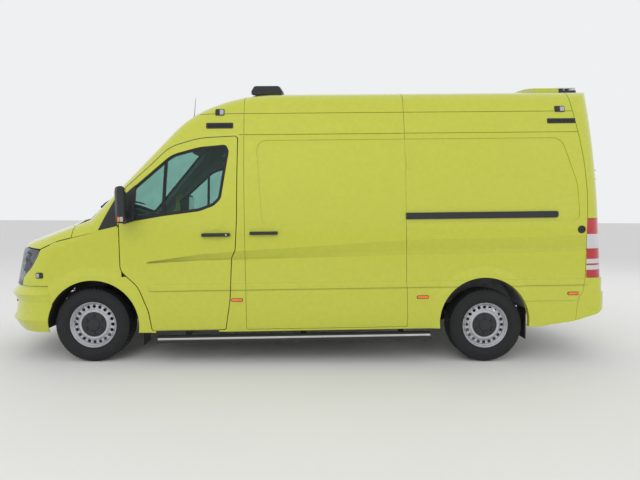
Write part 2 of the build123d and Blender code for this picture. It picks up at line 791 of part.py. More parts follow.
def arch_bore(x, z, radius, y0=0.0):
    """Round wheel-arch opening through one side."""
    return rod((x, y0, z), (x, WIDE, z), radius)


def arch_flare(x, z, inner, outer):
    """Low cone round a wheel arch, proud of the side."""
    reach = outer - inner
    root = HALF_WIDTH - SHEET
    height = SHEET + FLARE_HEIGHT
    top = outer - reach * 0.72
    cone = Plane((x, root, z), z_dir=(0, 1, 0)) * Pos(0, 0, height / 2) * Cone(outer, top, height)
    return cone - arch_bore(x, z, inner)


FRONT_BORE = arch_bore(FRONT_ARCH_X, FRONT_ARCH_Z, FRONT_ARCH_RADIUS)
REAR_BORE = arch_bore(REAR_ARCH_X, REAR_ARCH_Z, REAR_ARCH_RADIUS)

SCREEN_X, SCREEN_Z = screen_top()
SCREEN_PLANE = Plane(
    (SCREEN_X, 0, SCREEN_Z), x_dir=(0, 1, 0),
    z_dir=(sin(radians(SCREEN_ANGLE)), 0, cos(radians(SCREEN_ANGLE))),
)
# Windscreen in its own plane: distance down the slope and half width
SCREEN_TOP_DROP = 40.0
SCREEN_BOTTOM_DROP = 1060.0
SCREEN_TOP_HALF = 690.0
SCREEN_BOTTOM_HALF = 845.0
SCREEN_CORNER = 90.0


def screen_prism(amount=0.0):
    """Windscreen opening carried through the screen plane."""
    corners = [
        (SCREEN_TOP_HALF, SCREEN_TOP_DROP), (SCREEN_BOTTOM_HALF, SCREEN_BOTTOM_DROP),
        (-SCREEN_BOTTOM_HALF, SCREEN_BOTTOM_DROP), (-SCREEN_TOP_HALF, SCREEN_TOP_DROP),
    ]
    sign = 1 if SCREEN_PLANE.y_dir.Z < 0 else -1
    points = [(y, sign * drop) for y, drop in corners]
    face = make_face(FilletPolyline(*points, radius=SCREEN_CORNER, close=True).edges())
    if amount:
        face = offset(face, amount=amount)
    return extrude(SCREEN_PLANE * face, amount=500, both=True)


# Seam lines cut into the skin


def seam(face_solid):
    """The outer layer of the skin inside a thin cutting solid."""
    return face_solid & SEAM_LAYER


SEAM_LAYER = BODY - BODY_SEAM


def split_line(x0, z0, x1, z1):
    """Thin upright cutter along a straight line of the side view."""
    length = sqrt((x1 - x0) ** 2 + (z1 - z0) ** 2)
    angle = degrees(atan2(z1 - z0, x1 - x0))
    place = Pos((x0 + x1) / 2, 0, (z0 + z1) / 2) * Rot(0, -angle, 0)
    return place * Box(length, 2 * WIDE, SEAM_WIDTH)


# Regions of the body skin
ABOVE_GUTTER = [
    (FORM_REAR, GUTTER_Z, 0), (1150, GUTTER_Z, 0),
    (SCREEN_X + 300 * sin(radians(SCREEN_ANGLE)), SCREEN_Z + 300 * cos(radians(SCREEN_ANGLE)), 0),
    (1500, FORM_TOP, 0), (FORM_REAR, FORM_TOP, 0),
]
TAIL_REGION = [
    (-2500, FORM_TOP, 0), (-2544, 2409, 0), *TAIL_SEAM, (-2622, TAIL_SILL_Z, 0),
    (FORM_REAR, TAIL_SILL_Z, 0), (FORM_REAR, FORM_TOP, 0),
]
CAB_REGION = [
    (592, GUTTER_Z, 0), (1150, GUTTER_Z, 0), (1500, 2427, 0), (2700, 1700, 0),
    (2700, 1150, 0), (1700, 1150, 0), (1690, 1240, 0), (1500, 1700, 0), (1100, 1900, 0),
    (592, 2000, 0),
]


TAIL_SLAB = slab(outline(TAIL_REGION), -WIDE, WIDE)
SLIDER_SLAB = side_region(SLIDER)
SLIDER_SEAM = seam(side_region(SLIDER, SEAM_WIDTH / 2) - side_region(SLIDER, -SEAM_WIDTH / 2))
RECESS_LAYER = BODY - BODY_RECESS
CAB_DOOR_OPENING = side_region(CAB_DOOR, DOOR_GAP / 2)
DOOR_OPENINGS = CAB_DOOR_OPENING + mirrored(CAB_DOOR_OPENING)


# Region of each main panel, then the panels


def nose_skin(thickness, start=0.0):
    """Layer of the nose form between two depths."""
    return nose_form(start) - nose_form(start + thickness)


def bonnet_plan(amount):
    """Plan disc behind the bonnet's curved rear edge, grown by amount."""
    return Pos(BONNET_REAR_X - BONNET_REAR_RADIUS, 0, 0) * extrude(
        Circle(BONNET_REAR_RADIUS + amount), amount=FORM_TOP)


def roof():
    """High roof from the gutter up, with the lines pressed across it."""
    shell = (SKIN & slab(outline(ABOVE_GUTTER), -WIDE, WIDE)) - TAIL_SLAB
    for x in (SLIDER_FRONT_X, SLIDER_REAR_X):
        shell -= seam(split_line(x, GUTTER_Z, x, FORM_TOP))
    shell -= seam(split_line(TAIL_X, UPPER_LINE_Z, UPPER_LINE_FRONT_X, UPPER_LINE_Z))
    gutter = GUTTER_Z + SEAM_WIDTH / 2
    shell -= seam(split_line(TAIL_X, gutter, SLIDER_FRONT_X + WALL, gutter))
    keep("roof", leaning(shell))


def door_hinge(z):
    """Gooseneck hinge at the front edge of a cab door: fixed part, moving part, pocket."""
    y = HALF_WIDTH - DOOR_HINGE_INSET
    half = HINGE_LENGTH / 2
    reach = half + LUG + PIN_END
    fixed = rod((DOOR_HINGE_X, y, z - reach), (DOOR_HINGE_X, y, z + reach), HINGE_PIN)
    for z0 in (z - half - LUG, z + half + FIT):
        z1 = z0 + LUG - FIT
        lug = rod((DOOR_HINGE_X, y, z0), (DOOR_HINGE_X, y, z1), HINGE_BARREL)
        neck = block(DOOR_HINGE_X - HINGE_BARREL, DOOR_HINGE_X + HINGE_BARREL,
                     y - GOOSENECK, y, z0, z1)
        arm = block(DOOR_HINGE_X - HINGE_BARREL, PILLAR_X + LUG,
                    y - GOOSENECK - LUG, y - GOOSENECK, z0, z1)
        fixed = fixed + lug + neck + arm
    barrel = rod((DOOR_HINGE_X, y, z - half), (DOOR_HINGE_X, y, z + half), HINGE_BARREL)
    leaf = block(DOOR_HINGE_X - POCKET_REACH - LUG, DOOR_HINGE_X,
                 y - HINGE_BARREL, y + HINGE_BARREL, z - half, z + half)
    hole = rod((DOOR_HINGE_X, y, z - half), (DOOR_HINGE_X, y, z + half),
               HINGE_PIN + PIN_CLEARANCE)
    moving = barrel + leaf - hole
    reach = half + LUG + DOOR_GAP
    pocket = block(DOOR_HINGE_X - POCKET_REACH, DOOR_HINGE_X + 4 * HINGE_BARREL + LUG,
                   0, y + HINGE_BARREL + FIT * 3, z - reach, z + reach)
    return fixed, moving, pocket


def cowl_zone(amount):
    """Place of the black scuttle below the windscreen, grown by amount."""
    along = (cos(radians(SCREEN_ANGLE)), -sin(radians(SCREEN_ANGLE)))
    out = (sin(radians(SCREEN_ANGLE)), cos(radians(SCREEN_ANGLE)))
    corners = []
    for drop, lift in ((SCREEN_BOTTOM_DROP + 2, 100), (SCREEN_BOTTOM_DROP + 2, -300),
                       (SCREEN_BOTTOM_DROP + 300, -300), (SCREEN_BOTTOM_DROP + 300, 100)):
        corners.append((SCREEN_X + drop * along[0] + lift * out[0],
                        SCREEN_Z + drop * along[1] + lift * out[1], 0))
    return slab(grown(outline(corners), amount), -COWL_HALF - amount, COWL_HALF + amount)


def pillar_foot():
    """Foot of the windscreen pillar beside the bonnet's rear corner."""
    side = block(PILLAR_FOOT_X, BONNET_CORNER_X - BONNET_GAP, PILLAR_FOOT_Y, WIDE, 0, FORM_TOP)
    foot = nose_skin(BONNET_THICKNESS) & side & slab(outline(ABOVE_FENDER), 0, WIDE)
    foot = foot - body_form(WALL / 2) - side_region(QUARTER_TRIM, FIT)
    return foot.solids().sort_by(SortBy.VOLUME)[-1]


def cab_frame():
    """Windscreen frame with pillars, firewall, toe board and the doors' hinge arms."""
    frame = (SKIN & slab(outline(CAB_REGION), -WIDE, WIDE)) - DOOR_OPENINGS - screen_prism()
    frame = frame - nose_form(COWL_DROP)
    frame = frame & block(0, BONNET_CORNER_X - BONNET_GAP, -WIDE, WIDE, 0, FORM_TOP)
    frame = frame - ((BODY - body_form(COWL_THICKNESS + FIT)) & cowl_zone(FIT))
    wing = side_region(FENDER, FIT) - nose_form(SHEET + FIT)
    frame = frame - wing - mirrored(wing)
    socket = (BODY - body_form(TRIM_DEPTH + FIT)) & side_region(QUARTER_TRIM, FIT)
    frame = frame - socket - mirrored(socket)
    frame = Compound([s for s in frame.solids() if s.volume > 1e6])
    wall = slab(outline(FIREWALL), -FIREWALL_HALF, FIREWALL_HALF)
    wall = wall & nose_form(COWL_DROP + COWL_THICKNESS + FIT) & body_form(COWL_THICKNESS + FIT)
    toe = slab(outline(TOE_BOARD), -SILL_INNER_Y, SILL_INNER_Y)
    frame = frame + wall + toe
    foot = pillar_foot()
    pillar = block(PILLAR_X, FIREWALL_X + 25, FIREWALL_HALF - 60, HALF_WIDTH - SHEET - FIT,
                   PILLAR_Z, 1190)
    frame = frame + pillar + mirrored(pillar) + foot + mirrored(foot)
    for z in DOOR_HINGE_ZS:
        fixed, _, _ = door_hinge(z)
        frame = frame + fixed + mirrored(fixed)
    fixed, _ = bonnet_hinge(BONNET_HINGE_Y)
    frame = frame + fixed + mirrored(fixed)
    keep("cab_frame", leaning(frame))


def windscreen():
    """Laminated pane that follows the screen surface."""
    keep("windscreen", leaning((GLASS_OUTER - GLASS_INNER) & screen_prism(-FIT)))


def cowl():
    """Black scuttle panel between the windscreen and the bonnet."""
    upper = ((BODY - body_form(COWL_THICKNESS)) & cowl_zone(0))
    upper = upper - nose_form(COWL_DROP + COWL_THICKNESS)
    lower = nose_skin(COWL_THICKNESS, COWL_DROP) & bonnet_plan(-DOOR_GAP / 2)
    lower = lower & block(1900, BONNET_REAR_X, -COWL_LOWER_HALF, COWL_LOWER_HALF, 1150, 1600)
    lower = lower - body_form(COWL_THICKNESS)
    panel = upper + lower
    notch = block(BONNET_HINGE_X - COWL_NOTCH_BACK, BONNET_REAR_X, BONNET_HINGE_Y - COWL_NOTCH_HALF,
                  BONNET_HINGE_Y + COWL_NOTCH_HALF, 0, BONNET_HINGE_Z + COWL_NOTCH_RISE)
    panel = panel - notch - mirrored(notch)
    keep("cowl", leaning(panel.solids().sort_by(SortBy.VOLUME)[-1]))


def bonnet_hinge(y):
    """Hinge at the rear of the bonnet: fixed part and moving part."""
    x = BONNET_HINGE_X
    z = BONNET_HINGE_Z
    half = HINGE_LENGTH / 4
    reach = half + LUG + PIN_END
    fixed = rod((x, y - reach, z), (x, y + reach, z), HINGE_PIN)
    for y0 in (y - half - LUG, y + half + FIT):
        foot = block(FIREWALL_X + 200, x + HINGE_BARREL, y0, y0 + LUG - FIT, z - 20, z)
        ear = rod((x, y0, z), (x, y0 + LUG - FIT, z), HINGE_BARREL)
        fixed = fixed + foot + ear
    barrel = rod((x, y - half, z), (x, y + half, z), HINGE_BARREL)
    arm = block(x, x + BONNET_ARM, y - half, y + half, z - HINGE_BARREL, z + HINGE_BARREL)
    hole = rod((x, y - half, z), (x, y + half, z), HINGE_PIN + PIN_CLEARANCE)
    return fixed, barrel + arm - hole


def bonnet():
    """Crowned bonnet with its two hinge arms."""
    panel = nose_skin(BONNET_THICKNESS) - bonnet_plan(DOOR_GAP / 2)
    panel = panel & slab(grown(outline(ABOVE_FENDER), -DOOR_GAP / 2), -WIDE, WIDE)
    panel = panel & block(BONNET_CORNER_X, NOSE_X + 200, -WIDE, WIDE, 0, FORM_TOP)
    panel = panel.solids().sort_by(SortBy.VOLUME)[-1]
    _, moving = bonnet_hinge(BONNET_HINGE_Y)
    keep("bonnet", leaning(panel + moving + mirrored(moving)))


def fender():
    """Front wing with its flared arch."""
    sheet = (NOSE - NOSE_INNER) & side_region(FENDER)
    flare = arch_flare(FRONT_ARCH_X, FRONT_ARCH_Z, FRONT_ARCH_RADIUS, FRONT_FLARE_RADIUS)
    flare = flare & side_region(FENDER)
    panel = (sheet + flare) - FRONT_BORE - side_region(CAB_DOOR, DOOR_GAP / 2)
    hinge_y = HALF_WIDTH - DOOR_HINGE_INSET
    low, high = RELIEF_Z
    panel = panel - rod((DOOR_HINGE_X, hinge_y, low), (DOOR_HINGE_X, hinge_y, high), RELIEF)
    panel = panel.solids().sort_by(SortBy.VOLUME)[-1]
    keep("fenders", leaning(both(panel)))


def front_bumper():
    """Bumper cover with the lower air opening and the plate recess."""
    cover = (bumper_form(0) - bumper_form(BUMPER_WALL)) & slab(outline(BUMPER), -WIDE, WIDE)
    cover = cover - FRONT_BORE - mirrored(FRONT_BORE)
    cover = cover - block(GRILLE_REAR_X, FORM_NOSE, -LOWER_GRILLE_HALF, LOWER_GRILLE_HALF,
                          LOWER_GRILLE_Z0, LOWER_GRILLE_Z1)
    cover = cover.solids().sort_by(SortBy.VOLUME)[-1]
    keep("front_bumper", leaning(cover))


def grille():
    """Main grille: a frame with horizontal bars."""
    layer = nose_skin(GRILLE_DEPTH) & block(2500, 3000, -GRILLE_HALF, GRILLE_HALF,
                                            GRILLE_BOTTOM_Z, GRILLE_TOP_Z)
    holes = []
    pitch = (GRILLE_TOP_Z - GRILLE_BOTTOM_Z - GRILLE_BAR) / GRILLE_ROWS
    for row in range(GRILLE_ROWS):
        z = GRILLE_BOTTOM_Z + GRILLE_BAR + row * pitch
        holes.append(block(2500, 3000, -GRILLE_HALF + GRILLE_BAR, -GRILLE_BAR / 2,
                           z, z + pitch - GRILLE_BAR))
        holes.append(block(2500, 3000, GRILLE_BAR / 2, GRILLE_HALF - GRILLE_BAR,
                           z, z + pitch - GRILLE_BAR))
    for hole in holes:
        layer -= hole
    keep("grille", leaning(layer))


def headlamps():
    """Pair of tall headlamps wrapped round the front corners."""
    lamp = nose_skin(LAMP_DEPTH, 1.0) & side_region(HEADLAMP, -FIT, GRILLE_HALF + FIT)
    lamp = lamp.solids().sort_by(SortBy.VOLUME)[-1]
    keep("headlamps", leaning(both(lamp)))


def body_side():
    """Body side with both posts, the inner sill and the rear arch."""
    face = SKIN & side_region(SIDE)
    flare = arch_flare(REAR_ARCH_X, REAR_ARCH_Z, REAR_ARCH_RADIUS, REAR_FLARE_RADIUS)
    flare = flare & side_region(SIDE)
    panel = (face + flare) - REAR_BORE - SLIDER_SLAB - side_region(CAB_DOOR, DOOR_GAP / 2)
    panel = panel - (RECESS_LAYER & side_region(RECESS_REAR)) - SLIDER_SEAM
    panel = panel - side_region(REAR_BUMPER, SEAM_WIDTH / 2)
    y1 = HALF_WIDTH - WALL
    bottom = SILL_Z + SILL_LIFT
    sill = block(SILL_REAR_X, SILL_FRONT_X, SILL_INNER_Y, y1 - SILL_GAP, bottom, RAIL_TOP_Z)
    for x0, x1 in POSTS:
        post = block(x0, x1, SILL_INNER_Y, y1 + SILL_LIFT, bottom, POST_TOP_Z)
        panel = panel + (post & BODY)
    panel = panel + sill
    keep("body_side_left", leaning(panel))
    keep("body_side_right", leaning(mirrored(panel)))


def sliding_door():
    """Sliding side door with its blanked window recess."""
    panel = (SKIN & SLIDER_SLAB) - (RECESS_LAYER & side_region(RECESS_FRONT)) - SLIDER_SEAM
    keep("sliding_doors", leaning(both(panel)))


def cab_door():
    """Cab door with its window opening and the moving half of each hinge."""
    panel = SKIN & side_region(CAB_DOOR, -DOOR_GAP / 2)
    panel = panel - side_region(CAB_WINDOW)
    for z in DOOR_HINGE_ZS:
        _, moving, pocket = door_hinge(z)
        panel = (panel - pocket) + moving
    pane = body_window(CAB_WINDOW)
    mirror_head = tower(plan(MIRROR_PLAN), MIRROR_BOTTOM_Z, MIRROR_TOP_Z)
    mirror_head = fillet(mirror_head.edges(), 16)
    arm = block(*MIRROR_ARM, MIRROR_BOTTOM_Z + MIRROR_ARM_RISE, MIRROR_BOTTOM_Z + MIRROR_ARM_TOP)
    mirror_head = (mirror_head + arm) - BODY
    mirror_head = mirror_head.solids().sort_by(SortBy.VOLUME)[-1]
    handle = door_handle(DOOR_HANDLE_X0, DOOR_HANDLE_X1, DOOR_HANDLE_Z)
    trim = Compound([*mirror_head.solids(), *handle.solids()])
    for side, way in (("left", lambda s: s), ("right", mirrored)):
        keep(f"door_{side}", leaning(way(panel)))
        keep(f"door_glass_{side}", leaning(way(pane)))
        keep(f"door_trim_{side}", leaning(way(trim)))


def door_handle(x0, x1, z):
    """Bar handle that stands off the skin on two feet."""
    y = side_y(z)
    bar = block(x0, x1, y + HANDLE_IN, y + HANDLE_OUT, z - HANDLE_HALF, z + HANDLE_HALF)
    bar = fillet(bar.edges(), HANDLE_EDGE)
    middle = (x0 + x1) / 2
    for way in (1, -1):
        end = middle + way * ((x1 - x0) / 2 - FOOT_INSET)
        bar += block(min(end, end - way * FOOT_LENGTH), max(end, end - way * FOOT_LENGTH), y,
                     y + (HANDLE_IN + HANDLE_OUT) / 2, z - FOOT_HALF, z + FOOT_HALF)
    return bar


def tail_hinge(z):
    """Outside hinge of a rear door: fixed part and moving part."""
    x = tail_x(TAIL_HINGE_Y, z) - TAIL_HINGE_OUT
    place = Pos(x, TAIL_HINGE_Y, z) * Rot(0, TAIL_LEAN, 0)
    half = HINGE_LENGTH / 2
    radius = HINGE_BARREL + 2
    fixed = place * Cylinder(HINGE_PIN, 2 * (half + LUG + PIN_END))
    for z0 in (-half - LUG, half + FIT):
        lug = block(0, TAIL_LUG_X, -TAIL_LUG_BACK, TAIL_LUG_Y, z0, z0 + LUG - FIT)
        fixed = fixed + place * (lug + rod((0, 0, z0), (0, 0, z0 + LUG - FIT), radius))
    barrel = Cylinder(radius, 2 * half)
    strap = block(-STRAP, STRAP, -STRAP_LENGTH, 0, -half, half)
    strap += block(-STRAP, STRAP_ROOT_X, -STRAP_LENGTH, -STRAP_ROOT_Y, -half, half)
    hole = Cylinder(HINGE_PIN + PIN_CLEARANCE, 2 * half)
    return fixed, place * (barrel + strap - hole)


def tail():
    """Rear frame, the two rear doors with panes and the tail lamps."""
    half = TAIL_DOOR_HALF + DOOR_GAP
    opening = block(FORM_REAR, TAIL_FRONT_X, -half, half, TAIL_DOOR_BOTTOM_Z - DOOR_GAP,
                    TAIL_DOOR_TOP_Z + DOOR_GAP)
    frame = (SKIN & TAIL_SLAB) - opening
    bumper_skin = BODY - body_form(REAR_BUMPER_SKIN + FIT)
    frame = frame - (bumper_skin & slab(grown(outline(REAR_BUMPER), FIT), -WIDE, WIDE))
    edge = grown(outline(TAIL_REGION), -SEAM_WIDTH)
    frame = frame - seam(TAIL_SLAB - slab(edge, -WIDE, WIDE))
    lamp_face = outline(TAIL_LAMP)
    lamp = (BODY - body_form(TAIL_LAMP_DEPTH)) & slab(lamp_face, TAIL_LAMP_Y, WIDE)
    socket = BODY - body_form(TAIL_LAMP_DEPTH + FIT)
    socket = socket & slab(grown(lamp_face, FIT), TAIL_LAMP_Y - FIT, WIDE)
    frame = frame - socket - mirrored(socket)
    leaf = SKIN & block(FORM_REAR, TAIL_FRONT_X, DOOR_GAP / 2, TAIL_DOOR_HALF,
                        TAIL_DOOR_BOTTOM_Z, TAIL_DOOR_TOP_Z)
    leaf = leaf - tail_window(0)
    pane = (GLASS_OUTER - GLASS_INNER) & tail_window(-FIT)
    for z in TAIL_HINGE_ZS:
        fixed, moving = tail_hinge(z)
        frame = frame + fixed + mirrored(fixed)
        leaf = leaf + moving
    keep("tail_frame", leaning(frame))
    keep("tail_lamps", leaning(both(lamp)))
    for side, way in (("left", lambda s: s), ("right", mirrored)):
        keep(f"rear_door_{side}", leaning(way(leaf)))
        keep(f"rear_glass_{side}", leaning(way(pane)))


def tail_window(amount):
    """Window opening through a rear door."""
    with BuildSketch(Plane.YZ.offset(FORM_REAR)) as sketch:
        middle = ((TAIL_WINDOW_Y0 + TAIL_WINDOW_Y1) / 2, (TAIL_WINDOW_Z0 + TAIL_WINDOW_Z1) / 2)
        with Locations(middle):
            RectangleRounded(TAIL_WINDOW_Y1 - TAIL_WINDOW_Y0 + 2 * amount,
                             TAIL_WINDOW_Z1 - TAIL_WINDOW_Z0 + 2 * amount,
                             TAIL_WINDOW_CORNER + amount)
    return extrude(sketch.sketch, TAIL_FRONT_X - FORM_REAR)


def rear_bumper():
    """Rear bumper with its corners turned up under the tail lamps."""
    outer = bumper_plan(0)
    low = tower(outer, SILL_Z, TAIL_SILL_Z) - tower(bumper_plan(REAR_BUMPER_WALL), SILL_Z, TAIL_SILL_Z)
    corner = Pos(CORNER_SET_IN, 0, 0) * tower(outer, REAR_BUMPER_TOP_Z, TAIL_LAMP_TOP_Z)
    high = tower(outer, TAIL_SILL_Z, REAR_BUMPER_TOP_Z) + corner
    high = high - body_form(REAR_BUMPER_SKIN)
    shell = (low + high) & slab(outline(REAR_BUMPER), -WIDE, WIDE)
    shell = shell - block(FORM_REAR, TAIL_FRONT_X, -BUMPER_CORNER_Y, BUMPER_CORNER_Y,
                          REAR_BUMPER_TOP_Z, FORM_TOP)
    shell = shell.solids().sort_by(SortBy.VOLUME)[-1]
    keep("rear_bumper", leaning(shell))


def bumper_plan(inset):
    """Plan of the rear bumper: straight sides, round corners and a bowed back."""
    half = HALF_WIDTH - inset
    bow = REAR_BUMPER_BOW - sqrt(REAR_BUMPER_BOW ** 2 - half ** 2)
    x = REAR_X + inset
    front = TAIL_FRONT_X
    with BuildSketch() as section:
        with BuildLine():
            ThreePointArc((x + bow, -half), (x, 0), (x + bow, half))
            Polyline((x + bow, half), (front, half), (front, -half), (x + bow, -half))
        make_face()
        back = section.vertices().sort_by(Axis.X)[:2]
        fillet(back, REAR_BUMPER_CORNER - inset)
    return section.sketch


def floor():
    """Load floor and the lower cab floor, cut round the rear wheelhouses."""
    z1 = CARGO_FLOOR_Z
    z0 = z1 - FLOOR_THICKNESS
    deck = block(FLOOR_REAR_X, CAB_FLOOR_REAR_X, -SILL_INNER_Y, SILL_INNER_Y, z0, z1)
    wide = HALF_WIDTH - WALL - FIT
    tail_deck = block(FLOOR_REAR_X, REAR_ARCH_X - 200, -wide, wide, z0, z1)
    deck = (deck + tail_deck) & body_form(WALL + FIT)
    radius = REAR_ARCH_RADIUS + LINER_WALL + FIT
    for way in (lambda s: s, mirrored):
        well = rod((REAR_ARCH_X, WELL_Y - LINER_WALL - FIT, REAR_ARCH_Z),
                   (REAR_ARCH_X, WIDE, REAR_ARCH_Z), radius)
        deck = deck - way(well)
    step_x = CAB_FLOOR_REAR_X - FLOOR_THICKNESS
    riser = block(step_x, CAB_FLOOR_REAR_X, -SILL_INNER_Y, SILL_INNER_Y, CAB_FLOOR_Z, z1)
    cab = block(step_x, CAB_FLOOR_FRONT_X, -SILL_INNER_Y, SILL_INNER_Y,
                FRONT_RAIL_TOP_Z, CAB_FLOOR_Z)
    panel = deck + riser + cab
    for x in ANCHOR_XS:
        panel = panel - rod((x, 0, z0 - 1), (x, 0, z1 + 1), ANCHOR_RADIUS)
    keep("floor", leaning(panel))


def wheelhouses():
    """Front arch liners and closed rear wheelhouses."""
    radius = FRONT_ARCH_RADIUS + LINER_WALL
    y1 = HALF_WIDTH - SHEET - FIT
    liner = rod((FRONT_ARCH_X, FRONT_WELL_Y, FRONT_ARCH_Z), (FRONT_ARCH_X, y1, FRONT_ARCH_Z), radius)
    liner = liner - FRONT_BORE
    liner = liner & block(1000, 2900, 0, WIDE, FRONT_ARCH_Z - 20, 1000)
    liner = liner - (side_region(BUMPER, FIT) - bumper_form(BUMPER_WALL + FIT))
    keep("arch_liners", leaning(both(liner)))
    radius = REAR_ARCH_RADIUS + LINER_WALL
    y1 = HALF_WIDTH - WALL
    well = rod((REAR_ARCH_X, WELL_Y - LINER_WALL, REAR_ARCH_Z), (REAR_ARCH_X, y1, REAR_ARCH_Z), radius)
    well = well - rod((REAR_ARCH_X, WELL_Y, REAR_ARCH_Z), (REAR_ARCH_X, WIDE, REAR_ARCH_Z),
                      REAR_ARCH_RADIUS)
    well = well & block(-2900, 0, 0, WIDE, RAIL_TOP_Z - RAIL_HEIGHT, 1000)
    keep("rear_wheelhouses", leaning(both(well)))


def underframe():
    """Two long rails, and the members between and outside them as solids of their own."""
    y0 = RAIL_Y - RAIL_WIDTH / 2
    y1 = RAIL_Y + RAIL_WIDTH / 2
    step_x = CAB_FLOOR_REAR_X - FLOOR_THICKNESS
    rear_z0 = RAIL_TOP_Z - RAIL_HEIGHT
    front_z0 = FRONT_RAIL_TOP_Z - RAIL_HEIGHT
    rail = block(RAIL_REAR_X, step_x, y0, y1, rear_z0, RAIL_TOP_Z)
    rail += block(step_x - RAIL_LAP, NOSE_MEMBER_X, y0, y1, front_z0, FRONT_RAIL_TOP_Z)
    crash = block(NOSE_MEMBER_X - WELD, CRASH_NOSE_X, y0 + CRASH_INSET, y1 - CRASH_INSET,
                  front_z0 + WELD, FRONT_RAIL_TOP_Z - CRASH_INSET)
    crash = crash & bumper_form(BUMPER_WALL + FIT)
    post = block(NOSE_MEMBER_X, NOSE_X, y0 + CRASH_INSET, y1 - CRASH_INSET,
                 FRONT_RAIL_TOP_Z - MEMBER_INSET, GRILLE_TOP_Z)
    post = post & (nose_form(GRILLE_DEPTH + FIT) - nose_form(GRILLE_DEPTH + POST_DEPTH))
    post = post - (bumper_form(-FIT) - bumper_form(BUMPER_WALL + FIT))
    post = post.solids().sort_by(SortBy.VOLUME)[-1]
    rail = rail + crash + post
    socket = rod((NOSE_MEMBER_X - TOW_SOCKET_DEPTH, TOW_SOCKET_Y, TOW_SOCKET_Z),
                 (NOSE_MEMBER_X + WELD, TOW_SOCKET_Y, TOW_SOCKET_Z), TOW_SOCKET_RADIUS)
    members = [block(NOSE_MEMBER_X - 2 * MEMBER_HALF, NOSE_MEMBER_X, FIT - y0, y0 - FIT,
                     front_z0 + MEMBER_INSET, FRONT_RAIL_TOP_Z - MEMBER_INSET) - socket]
    for x in CROSS_MEMBER_XS:
        members.append(block(x - MEMBER_HALF, x + MEMBER_HALF, FIT - y0, y0 - FIT,
                             rear_z0 + MEMBER_INSET, RAIL_TOP_Z - MEMBER_INSET))
    for x in CROSS_MEMBER_XS[1:]:
        arm = block(x - OUTRIGGER_HALF, x + OUTRIGGER_HALF, y1 + FIT, SILL_INNER_Y - FIT,
                    RAIL_TOP_Z - OUTRIGGER_HEIGHT, RAIL_TOP_Z - FIT)
        members += [arm, mirrored(arm)]
    leg = block(FRONT_AXLE_X - TOWER_HALF, FRONT_AXLE_X + TOWER_HALF, y1 - CRASH_INSET,
                STRUT_TOP_Y + TOWER_REACH, STRUT_TOP_Z + TOWER_RISE, STRUT_TOP_Z + TOWER_TOP)
    wall = block(FRONT_AXLE_X - TOWER_HALF, FRONT_AXLE_X + TOWER_HALF, y0, y1,
                 FRONT_RAIL_TOP_Z + FIT, STRUT_TOP_Z + TOWER_TOP)
    top = kingpin_length()
    seat = rod(on_kingpin(top + FIT), on_kingpin(top + STRUT_SEAT), STRUT_MOUNT_RADIUS)
    strut_tower = leaning(leg + wall) + seat
    frame = [leaning(solid) for solid in (rail, mirrored(rail), *members)]
    solids = [s for shape in (*frame, strut_tower, mirrored(strut_tower)) for s in shape.solids()]
    keep("underframe", Compound(solids))


def on_kingpin(distance, way=1):
    """Point on a steering axis, measured up from the middle of the lower ball."""
    rise = STRUT_TOP_Z - ARM_Z
    across = STRUT_TOP_Y - KING_LOW_Y
    length = sqrt(rise ** 2 + across ** 2)
    y = KING_LOW_Y + across * distance / length
    return (FRONT_AXLE_X, way * y, ARM_Z + rise * distance / length)


def kingpin_length():
    """Distance from the lower ball to the top of the strut."""
    return sqrt((STRUT_TOP_Z - ARM_Z) ** 2 + (STRUT_TOP_Y - KING_LOW_Y) ** 2)


def front_axle():
    """Front subframe with its lower arms."""
    x = FRONT_AXLE_X
    frame = block(x - BEAM_HALF, x + BEAM_HALF, -RAIL_Y, RAIL_Y, ARM_Z - BEAM_DROP, ARM_Z + BEAM_RISE)
    rail_z = FRONT_RAIL_TOP_Z - RAIL_HEIGHT - BEAM_GAP
    for way in (1, -1):
        frame += block(x - BEAM_DROP * 2, x + BEAM_DROP * 2, way * (RAIL_Y - BEAM_DROP),
                       way * (RAIL_Y + BEAM_DROP), ARM_Z - ARM_RADIUS / 2, rail_z)
        for dx in (-ARM_SPREAD, ARM_SPREAD):
            frame += rod((x + dx, way * ARM_ROOT_Y, ARM_Z), (x, way * KING_LOW_Y, ARM_Z), ARM_RADIUS)
        frame += block(x - ARM_SPREAD - BUSH, x + ARM_SPREAD + BUSH, way * (ARM_ROOT_Y - BEAM_DROP),
                       way * (ARM_ROOT_Y + BEAM_DROP), ARM_Z - BUSH, ARM_Z + BUSH)
        frame += rod(on_kingpin(-BALL_HALF, way), on_kingpin(BALL_HALF, way), BALL_RADIUS)
    keep("front_subframe", frame)


